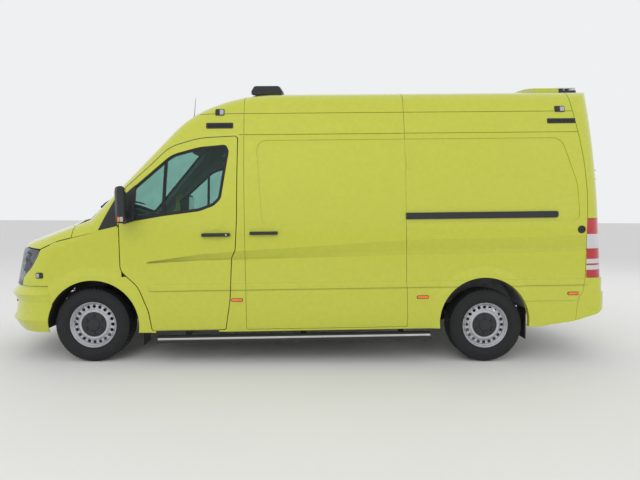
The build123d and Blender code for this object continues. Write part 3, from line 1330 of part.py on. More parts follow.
def knuckle():
    """Steering knuckle with stub axle, caliper and strut."""
    x = FRONT_AXLE_X
    foot = rod(on_kingpin(BALL_HALF + FIT), on_kingpin(3 * BALL_HALF), BALL_RADIUS)
    upright = block(x - UPRIGHT_HALF, x + UPRIGHT_HALF, KING_LOW_Y - 2 * UPRIGHT_REACH,
                    KING_LOW_Y + UPRIGHT_REACH, ARM_Z + 2 * BALL_HALF, UPRIGHT_TOP_Z)
    stub = rod((x, KING_LOW_Y - UPRIGHT_REACH, AXLE_Z), (x, TRACK / 2 + HUB_FACE - STUB_GAP, AXLE_Z),
               HUB_RADIUS - HUB_CLEARANCE)
    disc_y0 = TRACK / 2 + DISC_Y - DISC_HALF - PAD_GAP
    disc_y1 = TRACK / 2 + DISC_Y + DISC_HALF + PAD_GAP
    caliper = block(x - CALIPER_REACH, x - CALIPER_ROOT, disc_y0 - CALIPER_BACK, disc_y1 + CALIPER_FACE,
                    AXLE_Z - CALIPER_HALF, AXLE_Z + CALIPER_HALF)
    caliper -= rod((x, disc_y0, AXLE_Z), (x, disc_y1, AXLE_Z), DISC_RADIUS + PAD_GAP)
    bridge = block(x - CALIPER_REACH + BUSH, x - BEAM_DROP, disc_y0 - CALIPER_BACK, disc_y0,
                   AXLE_Z - CALIPER_HALF + PAD_GAP, AXLE_Z + CALIPER_HALF - PAD_GAP)
    clamp = block(x - BEAM_DROP, x + BEAM_DROP, STRUT_FOOT_Y - UPRIGHT_HALF, KING_LOW_Y - BEAM_DROP,
                  STRUT_FOOT_Z, UPRIGHT_TOP_Z)
    top = kingpin_length()
    strut = rod((x, STRUT_FOOT_Y, STRUT_FOOT_Z), on_kingpin(top - BEAM_DROP), STRUT_RADIUS)
    mount = rod(on_kingpin(top - BEAM_RISE), on_kingpin(top), STRUT_MOUNT_RADIUS)
    part = foot + upright + stub + caliper + bridge + clamp + strut + mount
    keep("knuckle_left", part)
    keep("knuckle_right", mirrored(part))


def ring(profile):
    """Body of revolution about the Y axis from radius and offset pairs."""
    face = make_face(Polyline(*[(r, y, 0) for r, y in profile], close=True).edges())
    return revolve(face, axis=Axis.Y)


def wheels():
    """Steel wheels with hubs, and plain round tyres."""
    wheel = ring(RIM) + ring(DISH) + ring(HUB) + ring(BRAKE_DISC) + ring(HUB_CAP)
    bead = RIM_WIDTH / 2 - RIM_WALL - FIT
    half = [(RIM_RADIUS + FIT, bead), *TYRE_SIDE]
    with BuildSketch() as section:
        with BuildLine():
            Polyline([(r, -y) for r, y in half] + [(r, y) for r, y in reversed(half)], close=True)
        make_face()
    tyre = revolve(section.sketch, axis=Axis.Y)
    for axle, x in (("front", FRONT_AXLE_X), ("rear", REAR_AXLE_X)):
        place = Pos(x, TRACK / 2, AXLE_Z)
        for side_name, way in (("left", lambda s: s), ("right", mirrored)):
            keep(f"wheel_{axle}_{side_name}", way(place * wheel))
            keep(f"tyre_{axle}_{side_name}", way(place * tyre))


def rear_axle():
    """Rear axle tube with its differential and stubs, on leaf springs."""
    x = REAR_AXLE_X
    reach = TRACK / 2 + HUB_FACE - STUB_GAP
    inner = TRACK / 2 + DISC_Y - DISC_HALF - PAD_GAP
    tube = rod((x, -inner, AXLE_Z), (x, inner, AXLE_Z), AXLE_TUBE_RADIUS)
    stubs = rod((x, -reach, AXLE_Z), (x, reach, AXLE_Z), HUB_RADIUS - HUB_CLEARANCE)
    pot = Pos(x, 0, AXLE_Z) * Sphere(DIFF_RADIUS)
    nose = rod((x + BEAM_RISE, 0, AXLE_Z), (x + PINION_REACH, 0, AXLE_Z), PINION_RADIUS)
    keep("rear_axle", tube + stubs + pot + nose)
    bottom = RAIL_TOP_Z - RAIL_HEIGHT
    ends = [in_row(x + dx, RAIL_Y, bottom - SHACKLE) for dx in (SPRING_HALF, -SPRING_HALF)]
    seat_z = AXLE_Z + AXLE_TUBE_RADIUS + FIT
    path = Edge.make_three_point_arc(ends[0], (x, RAIL_Y, seat_z + LEAF_THICKNESS / 2), ends[1])
    start = Plane(Vector(*ends[0]), x_dir=(0, 1, 0), z_dir=path % 0)
    leaf = sweep(start * Rectangle(RAIL_WIDTH, LEAF_THICKNESS), path=path)
    for eye_x, y, z in ends:
        leaf = leaf + rod((eye_x, y - LEAF_HALF, z), (eye_x, y + LEAF_HALF, z), LEAF_EYE)
    for eye_x in (x - SPRING_HALF, x + SPRING_HALF):
        shackle = block(eye_x - SHACKLE_HALF, eye_x + SHACKLE_HALF, RAIL_Y - LEAF_HALF,
                        RAIL_Y + LEAF_HALF, bottom - SHACKLE, bottom - FIT)
        leaf = leaf + leaning(shackle)
    pad = block(x - BEAM_HALF, x + BEAM_HALF, RAIL_Y - LEAF_HALF, RAIL_Y + LEAF_HALF,
                seat_z, seat_z + SPRING_PAD)
    keep("leaf_springs", both(leaf + pad))


def engine():
    """Engine, gearbox and mounts, each one plain block, and the drive shaft."""
    motor = block(*ENGINE_X, -ENGINE_HALF, ENGINE_HALF, *ENGINE_Z) & nose_form(ENGINE_NOSE_GAP)
    box = block(GEARBOX_REAR_X, ENGINE_X[0] - FIT, -GEARBOX_HALF, GEARBOX_HALF, *GEARBOX_Z)
    y1 = RAIL_Y - RAIL_WIDTH / 2 - FIT
    mount = block(*ENGINE_MOUNT_X, ENGINE_HALF + FIT, y1, *ENGINE_MOUNT_Z)
    solids = [s for shape in (motor, box, mount, mirrored(mount)) for s in shape.solids()]
    keep("engine", leaning(Compound(solids)))
    start = in_row(GEARBOX_REAR_X + SHAFT_LAP, 0, sum(GEARBOX_Z) / 2)
    end = (REAR_AXLE_X + PINION_REACH - SHAFT_LAP, 0, AXLE_Z)
    pinion = rod((REAR_AXLE_X, 0, AXLE_Z), (REAR_AXLE_X + PINION_REACH, 0, AXLE_Z), PINION_RADIUS)
    shaft = rod(start, end, SHAFT_RADIUS) - leaning(box) - pinion
    keep("drive_shaft", shaft.solids().sort_by(SortBy.VOLUME)[-1])


def tanks():
    """Fuel tank and exhaust under the floor."""
    tank = block(*TANK, CARGO_FLOOR_Z - FLOOR_THICKNESS - FIT)
    tank = fillet(tank.edges().filter_by(Axis.X), TANK_EDGE)
    keep("fuel_tank", leaning(tank))
    hanging = None
    for x0, x1, radius in PIPES:
        length = rod((x0, PIPE_Y, PIPE_Z), (x1, PIPE_Y, PIPE_Z), radius)
        hanging = length if hanging is None else hanging + length
    top = RAIL_TOP_Z - RAIL_HEIGHT + MEMBER_INSET - FIT
    for x in CROSS_MEMBER_XS[1:]:
        hanging += block(x - HANGER_HALF, x + HANGER_HALF, PIPE_Y - HANGER_REACH,
                         PIPE_Y + HANGER_REACH, PIPE_Z, top)
    keep("exhaust", leaning(hanging))


def steps():
    """Side steps under the doors, and the mud flaps."""
    board = block(STEP_REAR_X, STEP_FRONT_X, STEP_Y0, STEP_Y1, STEP_BOTTOM_Z, STEP_TOP_Z)
    board = fillet(board.edges().filter_by(Axis.X), STEP_EDGE)
    y0 = SILL_INNER_Y + STEP_EDGE
    z0 = STEP_BOTTOM_Z + STEP_WALL
    for x in (STEP_REAR_X + BRACKET_INSET, 0, STEP_FRONT_X - BRACKET_INSET):
        board += block(x - BRACKET_HALF, x + BRACKET_HALF, y0, y0 + BRACKET_DEPTH, z0,
                       SILL_Z + SILL_LIFT - FIT)
        board += block(x - BRACKET_HALF, x + BRACKET_HALF, y0, STEP_Y0 + BRACKET_HALF, z0,
                       STEP_TOP_Z - STEP_WALL)
    keep("side_steps", leaning(both(board)))
    flaps = []
    for x0, x1, z0, z1 in MUD_FLAPS:
        flaps.extend(block(x0, x1, FLAP_Y0, FLAP_Y1, z0, z1).solids())
    PARTS["arch_liners"] = Compound([*PARTS["arch_liners"].solids(),
                                     *leaning(both(Compound(flaps))).solids()])


def crown_band(x0, x1, half, bottom, top):
    """Band that follows the roof's crown between two heights above it."""
    with BuildSketch(Plane.YZ.offset(x0)) as sketch:
        centre_z = ROOF_Z - ROOF_CROWN
        r0 = ROOF_CROWN + bottom
        r1 = ROOF_CROWN + top
        z0 = centre_z + sqrt(r0 ** 2 - half ** 2)
        z1 = centre_z + sqrt(r1 ** 2 - half ** 2)
        with BuildLine():
            ThreePointArc((-half, z0), (0, centre_z + r0), (half, z0))
            Line((half, z0), (half, z1))
            ThreePointArc((half, z1), (0, centre_z + r1), (-half, z1))
            Line((-half, z1), (-half, z0))
        make_face()
    return extrude(sketch.sketch, x1 - x0)


def roof_gear():
    """Light bar and the raised rear box with its lamp."""
    bar = crown_band(BAR_REAR_X, BAR_FRONT_X, BAR_HALF, -ROOF_SINK, BAR_HEIGHT)
    bar = fillet(bar.edges().filter_by(Axis.X), BAR_EDGE) - BODY
    keep("light_bar", leaning(bar))
    box = crown_band(BOX_REAR_X, BOX_FRONT_X, BOX_HALF, -ROOF_SINK, BOX_HEIGHT) - BODY
    keep("roof_box", leaning(box.solids().sort_by(SortBy.VOLUME)[-1]))
    lamp = crown_band(BOX_LAMP_X, BOX_REAR_X - FIT, BOX_HALF, -ROOF_SINK, LAMP_HEIGHT) - BODY
    keep("roof_box_lamp", leaning(lamp.solids().sort_by(SortBy.VOLUME)[-1]))


def cabin():
    """Dashboard, seats, bulkhead and steering wheel."""
    top = Vector(*COLUMN_TOP)
    foot = Vector(*COLUMN_FOOT)
    column = rod(foot, top - (top - foot).normalized() * (HUB_DISC / 2 + FIT), COLUMN_RADIUS)
    dash = slab(outline(DASHBOARD), -DASH_HALF, DASH_HALF) & BODY_INNER
    dash = dash.solids().sort_by(SortBy.VOLUME)[-1]
    keep("dashboard", leaning(dash + column))
    wall = block(BULKHEAD_X, BULKHEAD_X + BULKHEAD, -HALF_WIDTH, HALF_WIDTH, CARGO_FLOOR_Z, ROOF_Z)
    wall = wall & body_form(WALL + DOOR_GAP)
    keep("bulkhead", leaning(wall))
    seats = []
    bases = []
    for y, width in SEATS:
        half = width / 2
        base = block(*SEAT_BASE_X, y - half + BASE_INSET, y + half - BASE_INSET, CAB_FLOOR_Z,
                     SEAT_Z - FIT)
        seat = slab(outline(SEAT_PROFILE), y - half, y + half)
        head = slab(outline(HEAD_PROFILE), y - HEAD_HALF, y + HEAD_HALF)
        seats.extend((seat + head).solids())
        bases.extend(base.solids())
    keep("seats", leaning(Compound(seats)))
    keep("seat_bases", leaning(Compound(bases)))
    plane = Plane(top, z_dir=top - foot)
    rim = plane * Torus(GRIP_RING, GRIP)
    spokes = Cylinder(GRIP_HUB, HUB_DISC) + Box(2 * GRIP_RING - SPOKE, SPOKE, GRIP)
    spokes += Pos(0, -GRIP_RING / 2, 0) * Box(SPOKE, GRIP_RING - SPOKE / 2, GRIP)
    keep("steering_wheel", leaning(rim + plane * spokes))


def trims():
    """Black fittings of the sides: rails, sliding-door handles and window corners."""
    rail = slab(outline(SIDE_RAIL), HALF_WIDTH - WALL, HALF_WIDTH + RAIL_STAND)
    rail = rail - BODY_RECESS
    rail = rail.solids().sort_by(SortBy.VOLUME)[-1]
    handle = door_handle(*SLIDER_HANDLE)
    corner = (BODY - body_form(TRIM_DEPTH)) & side_region(QUARTER_TRIM)
    corner = corner.solids().sort_by(SortBy.VOLUME)[-1]
    fittings = Compound([*rail.solids(), *handle.solids(), *corner.solids()])
    keep("side_fittings", leaning(both(fittings)))


def side_lamp_set():
    """Marker lamps, repeaters and the upper warning lamps of both sides."""
    body_layer = body_form(-LAMP_STAND) - BODY
    nose_layer = nose_form(-LAMP_STAND) - NOSE
    lamps = []
    for x0, x1, z0, z1, radius in SIDE_LAMPS:
        corners = [(x0, z0, radius), (x1, z0, radius), (x1, z1, radius), (x0, z1, radius)]
        layer = nose_layer if x0 > FRONT_AXLE_X else body_layer
        lamp = layer & side_region(corners)
        lamps.append(lamp.solids().sort_by(SortBy.VOLUME)[-1])
    keep("side_lamps", leaning(both(Compound(lamps))))


def build():
    """Write every kept node."""
    os.makedirs("parts", exist_ok=True)
    for name, shape in PARTS.items():
        export_step(shape, f"parts/{name}.step")


if __name__ == "__main__":
    roof()
    cab_frame()
    windscreen()
    cowl()
    bonnet()
    fender()
    front_bumper()
    grille()
    headlamps()
    body_side()
    sliding_door()
    cab_door()
    tail()
    rear_bumper()
    floor()
    wheelhouses()
    underframe()
    front_axle()
    knuckle()
    wheels()
    rear_axle()
    engine()
    tanks()
    steps()
    roof_gear()
    cabin()
    trims()
    side_lamp_set()
    build()
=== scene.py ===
"""Looks for the ambulance van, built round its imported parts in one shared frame.

Sizes that come from the body's drawing are millimetres of the level body; row() leans
them on the springs and turns them into metres of the shared frame.
"""
import json
import math
import bmesh
import bpy
import numpy as np
from mathutils import Matrix, Vector
from mathutils.bvhtree import BVHTree


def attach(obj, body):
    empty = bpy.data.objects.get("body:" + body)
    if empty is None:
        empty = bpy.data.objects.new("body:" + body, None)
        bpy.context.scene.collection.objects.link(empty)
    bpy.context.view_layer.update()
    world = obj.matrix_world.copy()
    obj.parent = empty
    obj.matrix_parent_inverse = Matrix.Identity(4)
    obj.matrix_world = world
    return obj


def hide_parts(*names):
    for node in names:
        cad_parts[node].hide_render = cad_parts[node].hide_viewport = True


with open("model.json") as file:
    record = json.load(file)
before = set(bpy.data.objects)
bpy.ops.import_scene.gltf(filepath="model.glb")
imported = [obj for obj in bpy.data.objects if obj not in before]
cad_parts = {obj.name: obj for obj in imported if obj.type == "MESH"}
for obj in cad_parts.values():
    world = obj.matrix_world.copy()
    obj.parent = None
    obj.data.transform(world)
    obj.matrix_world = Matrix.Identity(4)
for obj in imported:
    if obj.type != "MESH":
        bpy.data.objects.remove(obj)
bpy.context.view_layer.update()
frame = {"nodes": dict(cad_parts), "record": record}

bl_info = {
    "name": "Ambulance van",
    "version": (1, 0, 0),
    "blender": (4, 5, 0),
    "location": "3D View > Sidebar > Van",
    "description": "Builds the looks of an ambulance van round its packed parts",
    "category": "Object",
}

VAN = "van"
SIDES = (("left", 1), ("right", -1))
STANCE = math.radians(1.02)
STANCE_X = 1951.0
STANCE_Z = 340.0
HALF_WIDTH = 985.0
TUMBLE_Z = 1180.0
TUMBLE_RADIUS = 4300.0
ROOF_Z = 2595.0
ROOF_CROWN = 2400.0
TAIL_X = -2912.0
TAIL_Z = 700.0
TAIL_LEAN = math.radians(3.3)
TAIL_BOW = 5000.0
SCREEN_X = 1287.5
SCREEN_Z = 2221.6
SCREEN_SLOPE = math.radians(44.7)
AXLES = (("front", 1951.0), ("rear", -1714.0))
HALF_TRACK = 855.0
AXLE_Z = 346.0


# Places on the body


def row(x, y, z):
    """Level body point in millimetres as a point of the shared frame in metres."""
    c, s = math.cos(STANCE), math.sin(STANCE)
    dx, dz = x - STANCE_X, z - STANCE_Z
    return Vector((STANCE_X + c * dx + s * dz, y, STANCE_Z + c * dz - s * dx)) / 1000


def side_y(z):
    """Half width of the body skin at a height."""
    if z <= TUMBLE_Z:
        return HALF_WIDTH
    return HALF_WIDTH - TUMBLE_RADIUS + math.sqrt(TUMBLE_RADIUS ** 2 - (z - TUMBLE_Z) ** 2)


def on_side(way):
    """Place for (x, z, out) on the skin of one side."""
    return lambda x, z, out: row(x, way * (side_y(z) + out), z)


def tail_x(y, z):
    """Rear face of the body at a place across and a height."""
    bow = TAIL_BOW - math.sqrt(TAIL_BOW ** 2 - y ** 2)
    return TAIL_X + math.tan(TAIL_LEAN) * (z - TAIL_Z) + bow


def on_tail(y, z, out):
    """Place on the rear face."""
    return row(tail_x(y, z) - out, y, z)


def on_roof(x, y, out):
    """Place on the flat length of the crowned roof."""
    return row(x, y, ROOF_Z - ROOF_CROWN + math.sqrt(ROOF_CROWN ** 2 - y ** 2) + out)


def on_screen(y, drop, out):
    """Place on the windscreen's plane, drop down its slope from its top."""
    c, s = math.cos(SCREEN_SLOPE), math.sin(SCREEN_SLOPE)
    return row(SCREEN_X + drop * c + out * s, y, SCREEN_Z - drop * s + out * c)


def facing(x, toward=1, way=1):
    """Place for (y, z, out) on an upright plane across the van; toward 1 looks forward."""
    return lambda y, z, out: row(x + toward * out, way * y, z)


def beside(y, way=1):
    """Place for (x, z, out) on an upright plane along the van, on one side."""
    return lambda x, z, out: row(x, way * (y + out), z)


def level(z, way=1):
    """Place for (x, y, out) on a level plane of one side, out upward."""
    return lambda x, y, out: row(x, way * y, z + out)


def about(centre, forward=False):
    """Place for (u, v, out) round a point of the shared frame, out upward or forward."""
    if forward:
        return lambda u, v, out: centre + Vector((out, u, v)) / 1000
    return lambda u, v, out: centre + Vector((u, v, out)) / 1000


def shifted(place, u0, v0, out0=0.0):
    """Another place, counted from one of its spots."""
    return lambda u, v, out: place(u0 + u, v0 + v, out0 + out)


def drape(place, *names, reach=250.0):
    """Place that lies on the nearest of some nodes, met along the place's own out direction."""
    trees = []
    for name in names:
        mesh = frame["nodes"][name].data
        trees.append(BVHTree.FromPolygons([v.co for v in mesh.vertices],
                                          [p.vertices[:] for p in mesh.polygons]))

    def at(u, v, out):
        start, end = place(u, v, reach), place(u, v, -reach)
        way = (end - start).normalized()
        hits = [tree.ray_cast(start, way, 2 * reach / 1000) for tree in trees]
        far = [hit[3] for hit in hits if hit[0] is not None]
        if not far:
            middle = (start + end) / 2
            near = min((tree.find_nearest(middle) for tree in trees), key=lambda hit: hit[3])
            return near[0] - way * (out / 1000)
        return start + way * (min(far) - out / 1000)
    return at


# Shapes: each gives points in metres of the shared frame, and faces


def rounded(outline, steps=6, stride=60.0):
    """Fine closed line through corners (u, v, radius), in millimetres."""
    line = []
    count = len(outline)
    for i, (u, v, radius) in enumerate(outline):
        here = np.array((u, v), float)
        before = np.array(outline[i - 1][:2], float) - here
        after = np.array(outline[(i + 1) % count][:2], float) - here
        a, b = np.linalg.norm(before), np.linalg.norm(after)
        before, after = before / a, after / b
        angle = math.acos(max(-1.0, min(1.0, float(before @ after))))
        if radius <= 0 or angle > math.pi - 0.02:
            line.append(here)
            continue
        back = min(radius / math.tan(angle / 2), 0.48 * a, 0.48 * b)
        start, end = here + before * back, here + after * back
        for k in range(steps + 1):
            s = k / steps
            line.append((1 - s) ** 2 * start + 2 * s * (1 - s) * here + s ** 2 * end)
    fine = []
    for i, point in enumerate(line):
        ahead = line[(i + 1) % len(line)]
        pieces = max(1, int(np.linalg.norm(ahead - point) // stride))
        fine.extend(point + (ahead - point) * k / pieces for k in range(pieces))
    return [tuple(q) for q in fine]


def oblong(u0, u1, v0, v1, corner):
    """Fine closed line of a rectangle with rounded corners."""
    return rounded([(u0, v0, corner), (u1, v0, corner), (u1, v1, corner), (u0, v1, corner)])


def grow(line, amount):
    """Closed line moved outward by an amount, inward where it is negative."""
    points = np.array(line)
    area = np.sum(points[:, 0] * np.roll(points[:, 1], -1)
                  - np.roll(points[:, 0], -1) * points[:, 1])
    ahead = np.roll(points, -1, axis=0) - points
    ahead /= np.maximum(np.linalg.norm(ahead, axis=1, keepdims=True), 1e-9)
    normal = np.stack((ahead[:, 1], -ahead[:, 0]), axis=1) * math.copysign(1, area)
    both = normal + np.roll(normal, 1, axis=0)
    size = np.maximum(np.sum(both ** 2, axis=1, keepdims=True), 0.8)
    return [tuple(q) for q in points + both * (2 * amount / size)]


def skin(rings, around=False):
    """Faces between rings of equally many points; both ends are closed unless it runs around."""
    count = len(rings[0])
    points = [p for ring in rings for p in ring]
    faces = []
    for i in range(len(rings) if around else len(rings) - 1):
        j = (i + 1) % len(rings)
        for k in range(count):
            n = (k + 1) % count
            faces.append((i * count + k, i * count + n, j * count + n, j * count + k))
    if not around:
        faces.append(tuple(range(count)))
        faces.append(tuple(range(len(points) - 1, len(points) - 1 - count, -1)))
    return points, faces


def moulding(line, section, place):
    """Strip along a closed line; its section is a closed row of (outward, height)."""
    return skin([[place(u, v, h) for u, v in grow(line, d)] for d, h in section], around=True)


def plate(line, section, place, rings=0):
    """Filled form on a closed line; its section runs (outward, height) from back to front."""
    layers = [[place(u, v, h) for u, v in grow(line, d)] for d, h in section]
    if rings:
        d, h = section[-1]
        edge = np.array(grow(line, d))
        middle = edge.mean(axis=0)
        for k in range(1, rings + 1):
            inner = edge + (middle - edge) * (k / (rings + 0.4))
            layers.append([place(u, v, h) for u, v in inner])
    return skin(layers)


def lathe(profile, place, count=96):
    """Closed profile of (radius, out) turned about an axle."""
    rings = []
    for k in range(count):
        angle = 2 * math.pi * k / count
        rings.append([place(r * math.cos(angle), r * math.sin(angle), y) for r, y in profile])
    return skin(rings, around=True)


def tube(path, radius, count=10):
    """Round bar along points in metres, its ends closed; radius in millimetres."""
    points = [Vector(p) for p in path]
    rings = []
    side = None
    for i, point in enumerate(points):
        along = (points[min(i + 1, len(points) - 1)] - points[max(i - 1, 0)]).normalized()
        if side is None:
            side = along.orthogonal().normalized()
        side = (side - along * side.dot(along)).normalized()
        other = along.cross(side)
        size = (radius[i] if isinstance(radius, (list, tuple)) else radius) / 1000
        rings.append([point + (side * math.cos(a) + other * math.sin(a)) * size
                      for a in (2 * math.pi * k / count for k in range(count))])
    return skin(rings)


def tapered(start, end, radii, count):
    """Straight round bar; radii gives (share of the way, radius)."""
    return tube([start.lerp(end, share) for share, _ in radii], [r for _, r in radii], count)


def pad_box(u0, u1, v0, v1, h0, h1, corner, edge, place):
    """Block with rounded corners and eased front edge."""
    line = oblong(u0, u1, v0, v1, corner)
    way = 1 if h1 > h0 else -1
    section = [(-edge * 0.3, h0), (0, h0 + way * edge * 0.3), (0, h1 - way * edge),
               (-edge * 0.3, h1 - way * edge * 0.3), (-edge, h1)]
    return plate(line, section, place)


def placed(name, data):
    """New object of the scene."""
    obj = bpy.data.objects.new(name, data)
    bpy.context.scene.collection.objects.link(obj)
    return obj


def applied(obj):
    """Plain mesh of an object as its modifiers leave it; the modifiers are then removed."""
    graph = bpy.context.evaluated_depsgraph_get()
    mesh = bpy.data.meshes.new_from_object(obj.evaluated_get(graph), depsgraph=graph)
    obj.modifiers.clear()
    return mesh


def shape_of(work):
    """Points and faces of a work mesh, which is then freed."""
    work.verts.index_update()
    shape = ([tuple(v.co) for v in work.verts],
             [tuple(v.index for v in f.verts) for f in work.faces])
    work.free()
    return shape


SHARP_ANGLE = 32.0
MERGE_DISTANCE = 0.00001


class Build:
    """Points, faces and materials of one piece, gathered shape by shape."""

    def __init__(self, name):
        self.name, self.points, self.faces, self.rows, self.names = name, [], [], [], []

    def add(self, shape, material):
        """Take in a shape (points, faces) with its material's name."""
        points, faces = shape
        start = len(self.points)
        if material not in self.names:
            self.names.append(material)
        self.points.extend(tuple(p) for p in points)
        self.faces.extend(tuple(start + i for i in face) for face in faces)
        self.rows.extend([self.names.index(material)] * len(faces))

    def blocks(self, rows, place):
        """Take in rounded blocks: limits (u, v, out), corner, edge and finish of each."""
        for *limits, finish in rows:
            self.add(pad_box(*limits, place), finish)

    def done(self, body, replaces=()):
        """Make the object, with outward faces, and let it ride on a body."""
        mesh = bpy.data.meshes.new(self.name)
        mesh.from_pydata(self.points, [], self.faces)
        mesh.polygons.foreach_set("material_index", self.rows)
        work = bmesh.new()
        work.from_mesh(mesh)
        bmesh.ops.remove_doubles(work, verts=work.verts, dist=MERGE_DISTANCE)
        bmesh.ops.dissolve_degenerate(work, edges=work.edges, dist=0.000005)
        bmesh.ops.recalc_face_normals(work, faces=work.faces)
        for face in work.faces:
            face.smooth = True
        work.to_mesh(mesh)
        work.free()
        mesh.set_sharp_from_angle(angle=math.radians(SHARP_ANGLE))
        for name in self.names:
            mesh.materials.append(MATERIALS[name])
        obj = placed(self.name, mesh)
        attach(obj, body)
        if replaces:
            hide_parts(*replaces)
        return obj


def add_node(tree, kind, inputs=(), **settings):
    """New node with its settings; each input is given as a value or as a socket to link."""
    node = tree.nodes.new(kind)
    for name, value in settings.items():
        setattr(node, name, value)
    for key, value in dict(inputs).items():
        if isinstance(value, bpy.types.NodeSocket):
            tree.links.new(value, node.inputs[key])
        else:
            node.inputs[key].default_value = value
    return node


def pattern_tree():
    """Node tree that sets one item on every point of a mesh, turned as the point says."""
    tree = bpy.data.node_groups.new("set_items", "GeometryNodeTree")
    for name, kind in (("Points", "NodeSocketGeometry"), ("Item", "NodeSocketObject"),
                       ("Size", "NodeSocketFloat"), ("Finish", "NodeSocketMaterial")):
        tree.interface.new_socket(name=name, in_out="INPUT", socket_type=kind)
    tree.interface.new_socket(name="Geometry", in_out="OUTPUT",
                              socket_type="NodeSocketGeometry")
    given = add_node(tree, "NodeGroupInput").outputs
    item = add_node(tree, "GeometryNodeObjectInfo", {"Object": given["Item"]})
    turn = add_node(tree, "GeometryNodeInputNamedAttribute", {"Name": "turn"},
                    data_type="FLOAT_VECTOR")
    angle = add_node(tree, "FunctionNodeEulerToRotation", {"Euler": turn.outputs["Attribute"]})
    instances = add_node(tree, "GeometryNodeInstanceOnPoints", {
        "Points": given["Points"], "Instance": item.outputs["Geometry"],
        "Rotation": angle.outputs["Rotation"], "Scale": given["Size"]})
    real = add_node(tree, "GeometryNodeRealizeInstances",
                    {"Geometry": instances.outputs["Instances"]})
    finish = add_node(tree, "GeometryNodeSetMaterial",
                      {"Geometry": real.outputs["Geometry"], "Material": given["Finish"]})
    add_node(tree, "NodeGroupOutput", {"Geometry": finish.outputs["Geometry"]})
    return tree


def repeated(spots, item, material, size=1.0):
    """Item (points, faces) set by the node tree on spots (point, outward, along)."""
    tree = bpy.data.node_groups.get("set_items") or pattern_tree()
    shape = bpy.data.meshes.new("item")
    shape.from_pydata(item[0], [], item[1])
    single = placed("item", shape)
    mesh = bpy.data.meshes.new("spots")
    mesh.from_pydata([tuple(point) for point, _, _ in spots], [], [])
    turns = mesh.attributes.new("turn", "FLOAT_VECTOR", "POINT")
    for i, (_, outward, along) in enumerate(spots):
        up = Vector(outward).normalized()
        first = Vector(along).normalized()
        first = (first - up * first.dot(up)).normalized()
        turned = Matrix((first, up.cross(first), up)).transposed()
        turns.data[i].vector = turned.to_euler()
    holder = placed("spots", mesh)
    modifier = holder.modifiers.new("set_items", "NODES")
    modifier.node_group = tree
    sockets = {s.name: s.identifier for s in tree.interface.items_tree if s.in_out == "INPUT"}
    modifier[sockets["Item"]] = single
    modifier[sockets["Size"]] = size
    modifier[sockets["Finish"]] = MATERIALS[material]
    made = applied(holder)
    points = [tuple(v.co) for v in made.vertices]
    faces = [tuple(p.vertices) for p in made.polygons]
    for obj in (holder, single):
        bpy.data.objects.remove(obj)
    for data in (made, mesh, shape):
        bpy.data.meshes.remove(data)
    if not faces:
        raise RuntimeError("the node tree gave no faces")
    return points, faces


def local(u, v, out):
    """Place of an item's own frame, in millimetres."""
    return Vector((u, v, out)) / 1000


def screw(radius, height):
    """Round screw head, hollow in its middle, for one spot."""
    return lathe(((0, -2), (radius, -2), (radius, height * 0.4), (radius * 0.8, height * 0.85),
                  (radius * 0.42, height), (radius * 0.3, height * 0.5), (0, height * 0.4)),
                 local, 14)


def bar_item(length, width, height):
    """Slim bar with eased edges, lengthwise along its own x."""
    return pad_box(-length / 2, length / 2, -width / 2, width / 2, -height, height, width * 0.3,
                   height * 0.4, local)


def spot(place, u, v, out, along=(1, 0)):
    """Point on a place with its outward direction and a direction along it."""
    here, off = place(u, v, out), place(u, v, out + 10)
    ahead = place(u + 10 * along[0], v + 10 * along[1], out)
    return here, off - here, ahead - here


# Materials


def new_tree(name):
    """Empty node material with its shader and output."""
    material = bpy.data.materials.new(name)
    material.use_nodes = True
    tree = material.node_tree
    tree.nodes.clear()
    shader = add_node(tree, "ShaderNodeBsdfPrincipled")
    out = add_node(tree, "ShaderNodeOutputMaterial", {"Surface": shader.outputs["BSDF"]})
    return material, tree, shader, out


def noise(tree, scale, detail=3.0, stretch=(1, 1, 1)):
    """Noise on object coordinates."""
    coords = add_node(tree, "ShaderNodeTexCoord")
    mapping = add_node(tree, "ShaderNodeMapping",
                       {"Vector": coords.outputs["Object"], "Scale": stretch})
    texture = add_node(tree, "ShaderNodeTexNoise",
                       {"Vector": mapping.outputs["Vector"], "Scale": scale, "Detail": detail})
    return texture.outputs["Fac"]


def ranged(tree, value, given, wanted):
    """Value mapped from one range (low, high) to another."""
    node = add_node(tree, "ShaderNodeMapRange", {
        "Value": value, "From Min": given[0], "From Max": given[1],
        "To Min": wanted[0], "To Max": wanted[1]})
    return node.outputs["Result"]


NOISE_RANGE = (0.3, 0.7)


def spread(tree, value, low, high):
    """Noise mapped from the middle of its range to low..high."""
    return ranged(tree, value, NOISE_RANGE, (low, high))


def tones(tree, value, low, high):
    """Colour between two tones by a value."""
    mix = add_node(tree, "ShaderNodeMix", {"A": (*low, 1), "B": (*high, 1), "Factor": value},
                   data_type="RGBA")
    return mix.outputs["Result"]


def bump(tree, height, strength, distance):
    """Relief's node."""
    return add_node(tree, "ShaderNodeBump",
                    {"Strength": strength, "Distance": distance, "Height": height})


def scaled(colour, share):
    """Colour made lighter or darker."""
    return tuple(min(1.0, c * share) for c in colour)


BROAD = 40
ROUGH_SPREAD = (0.88, 1.12)
COAT_ROUGHNESS = 0.06


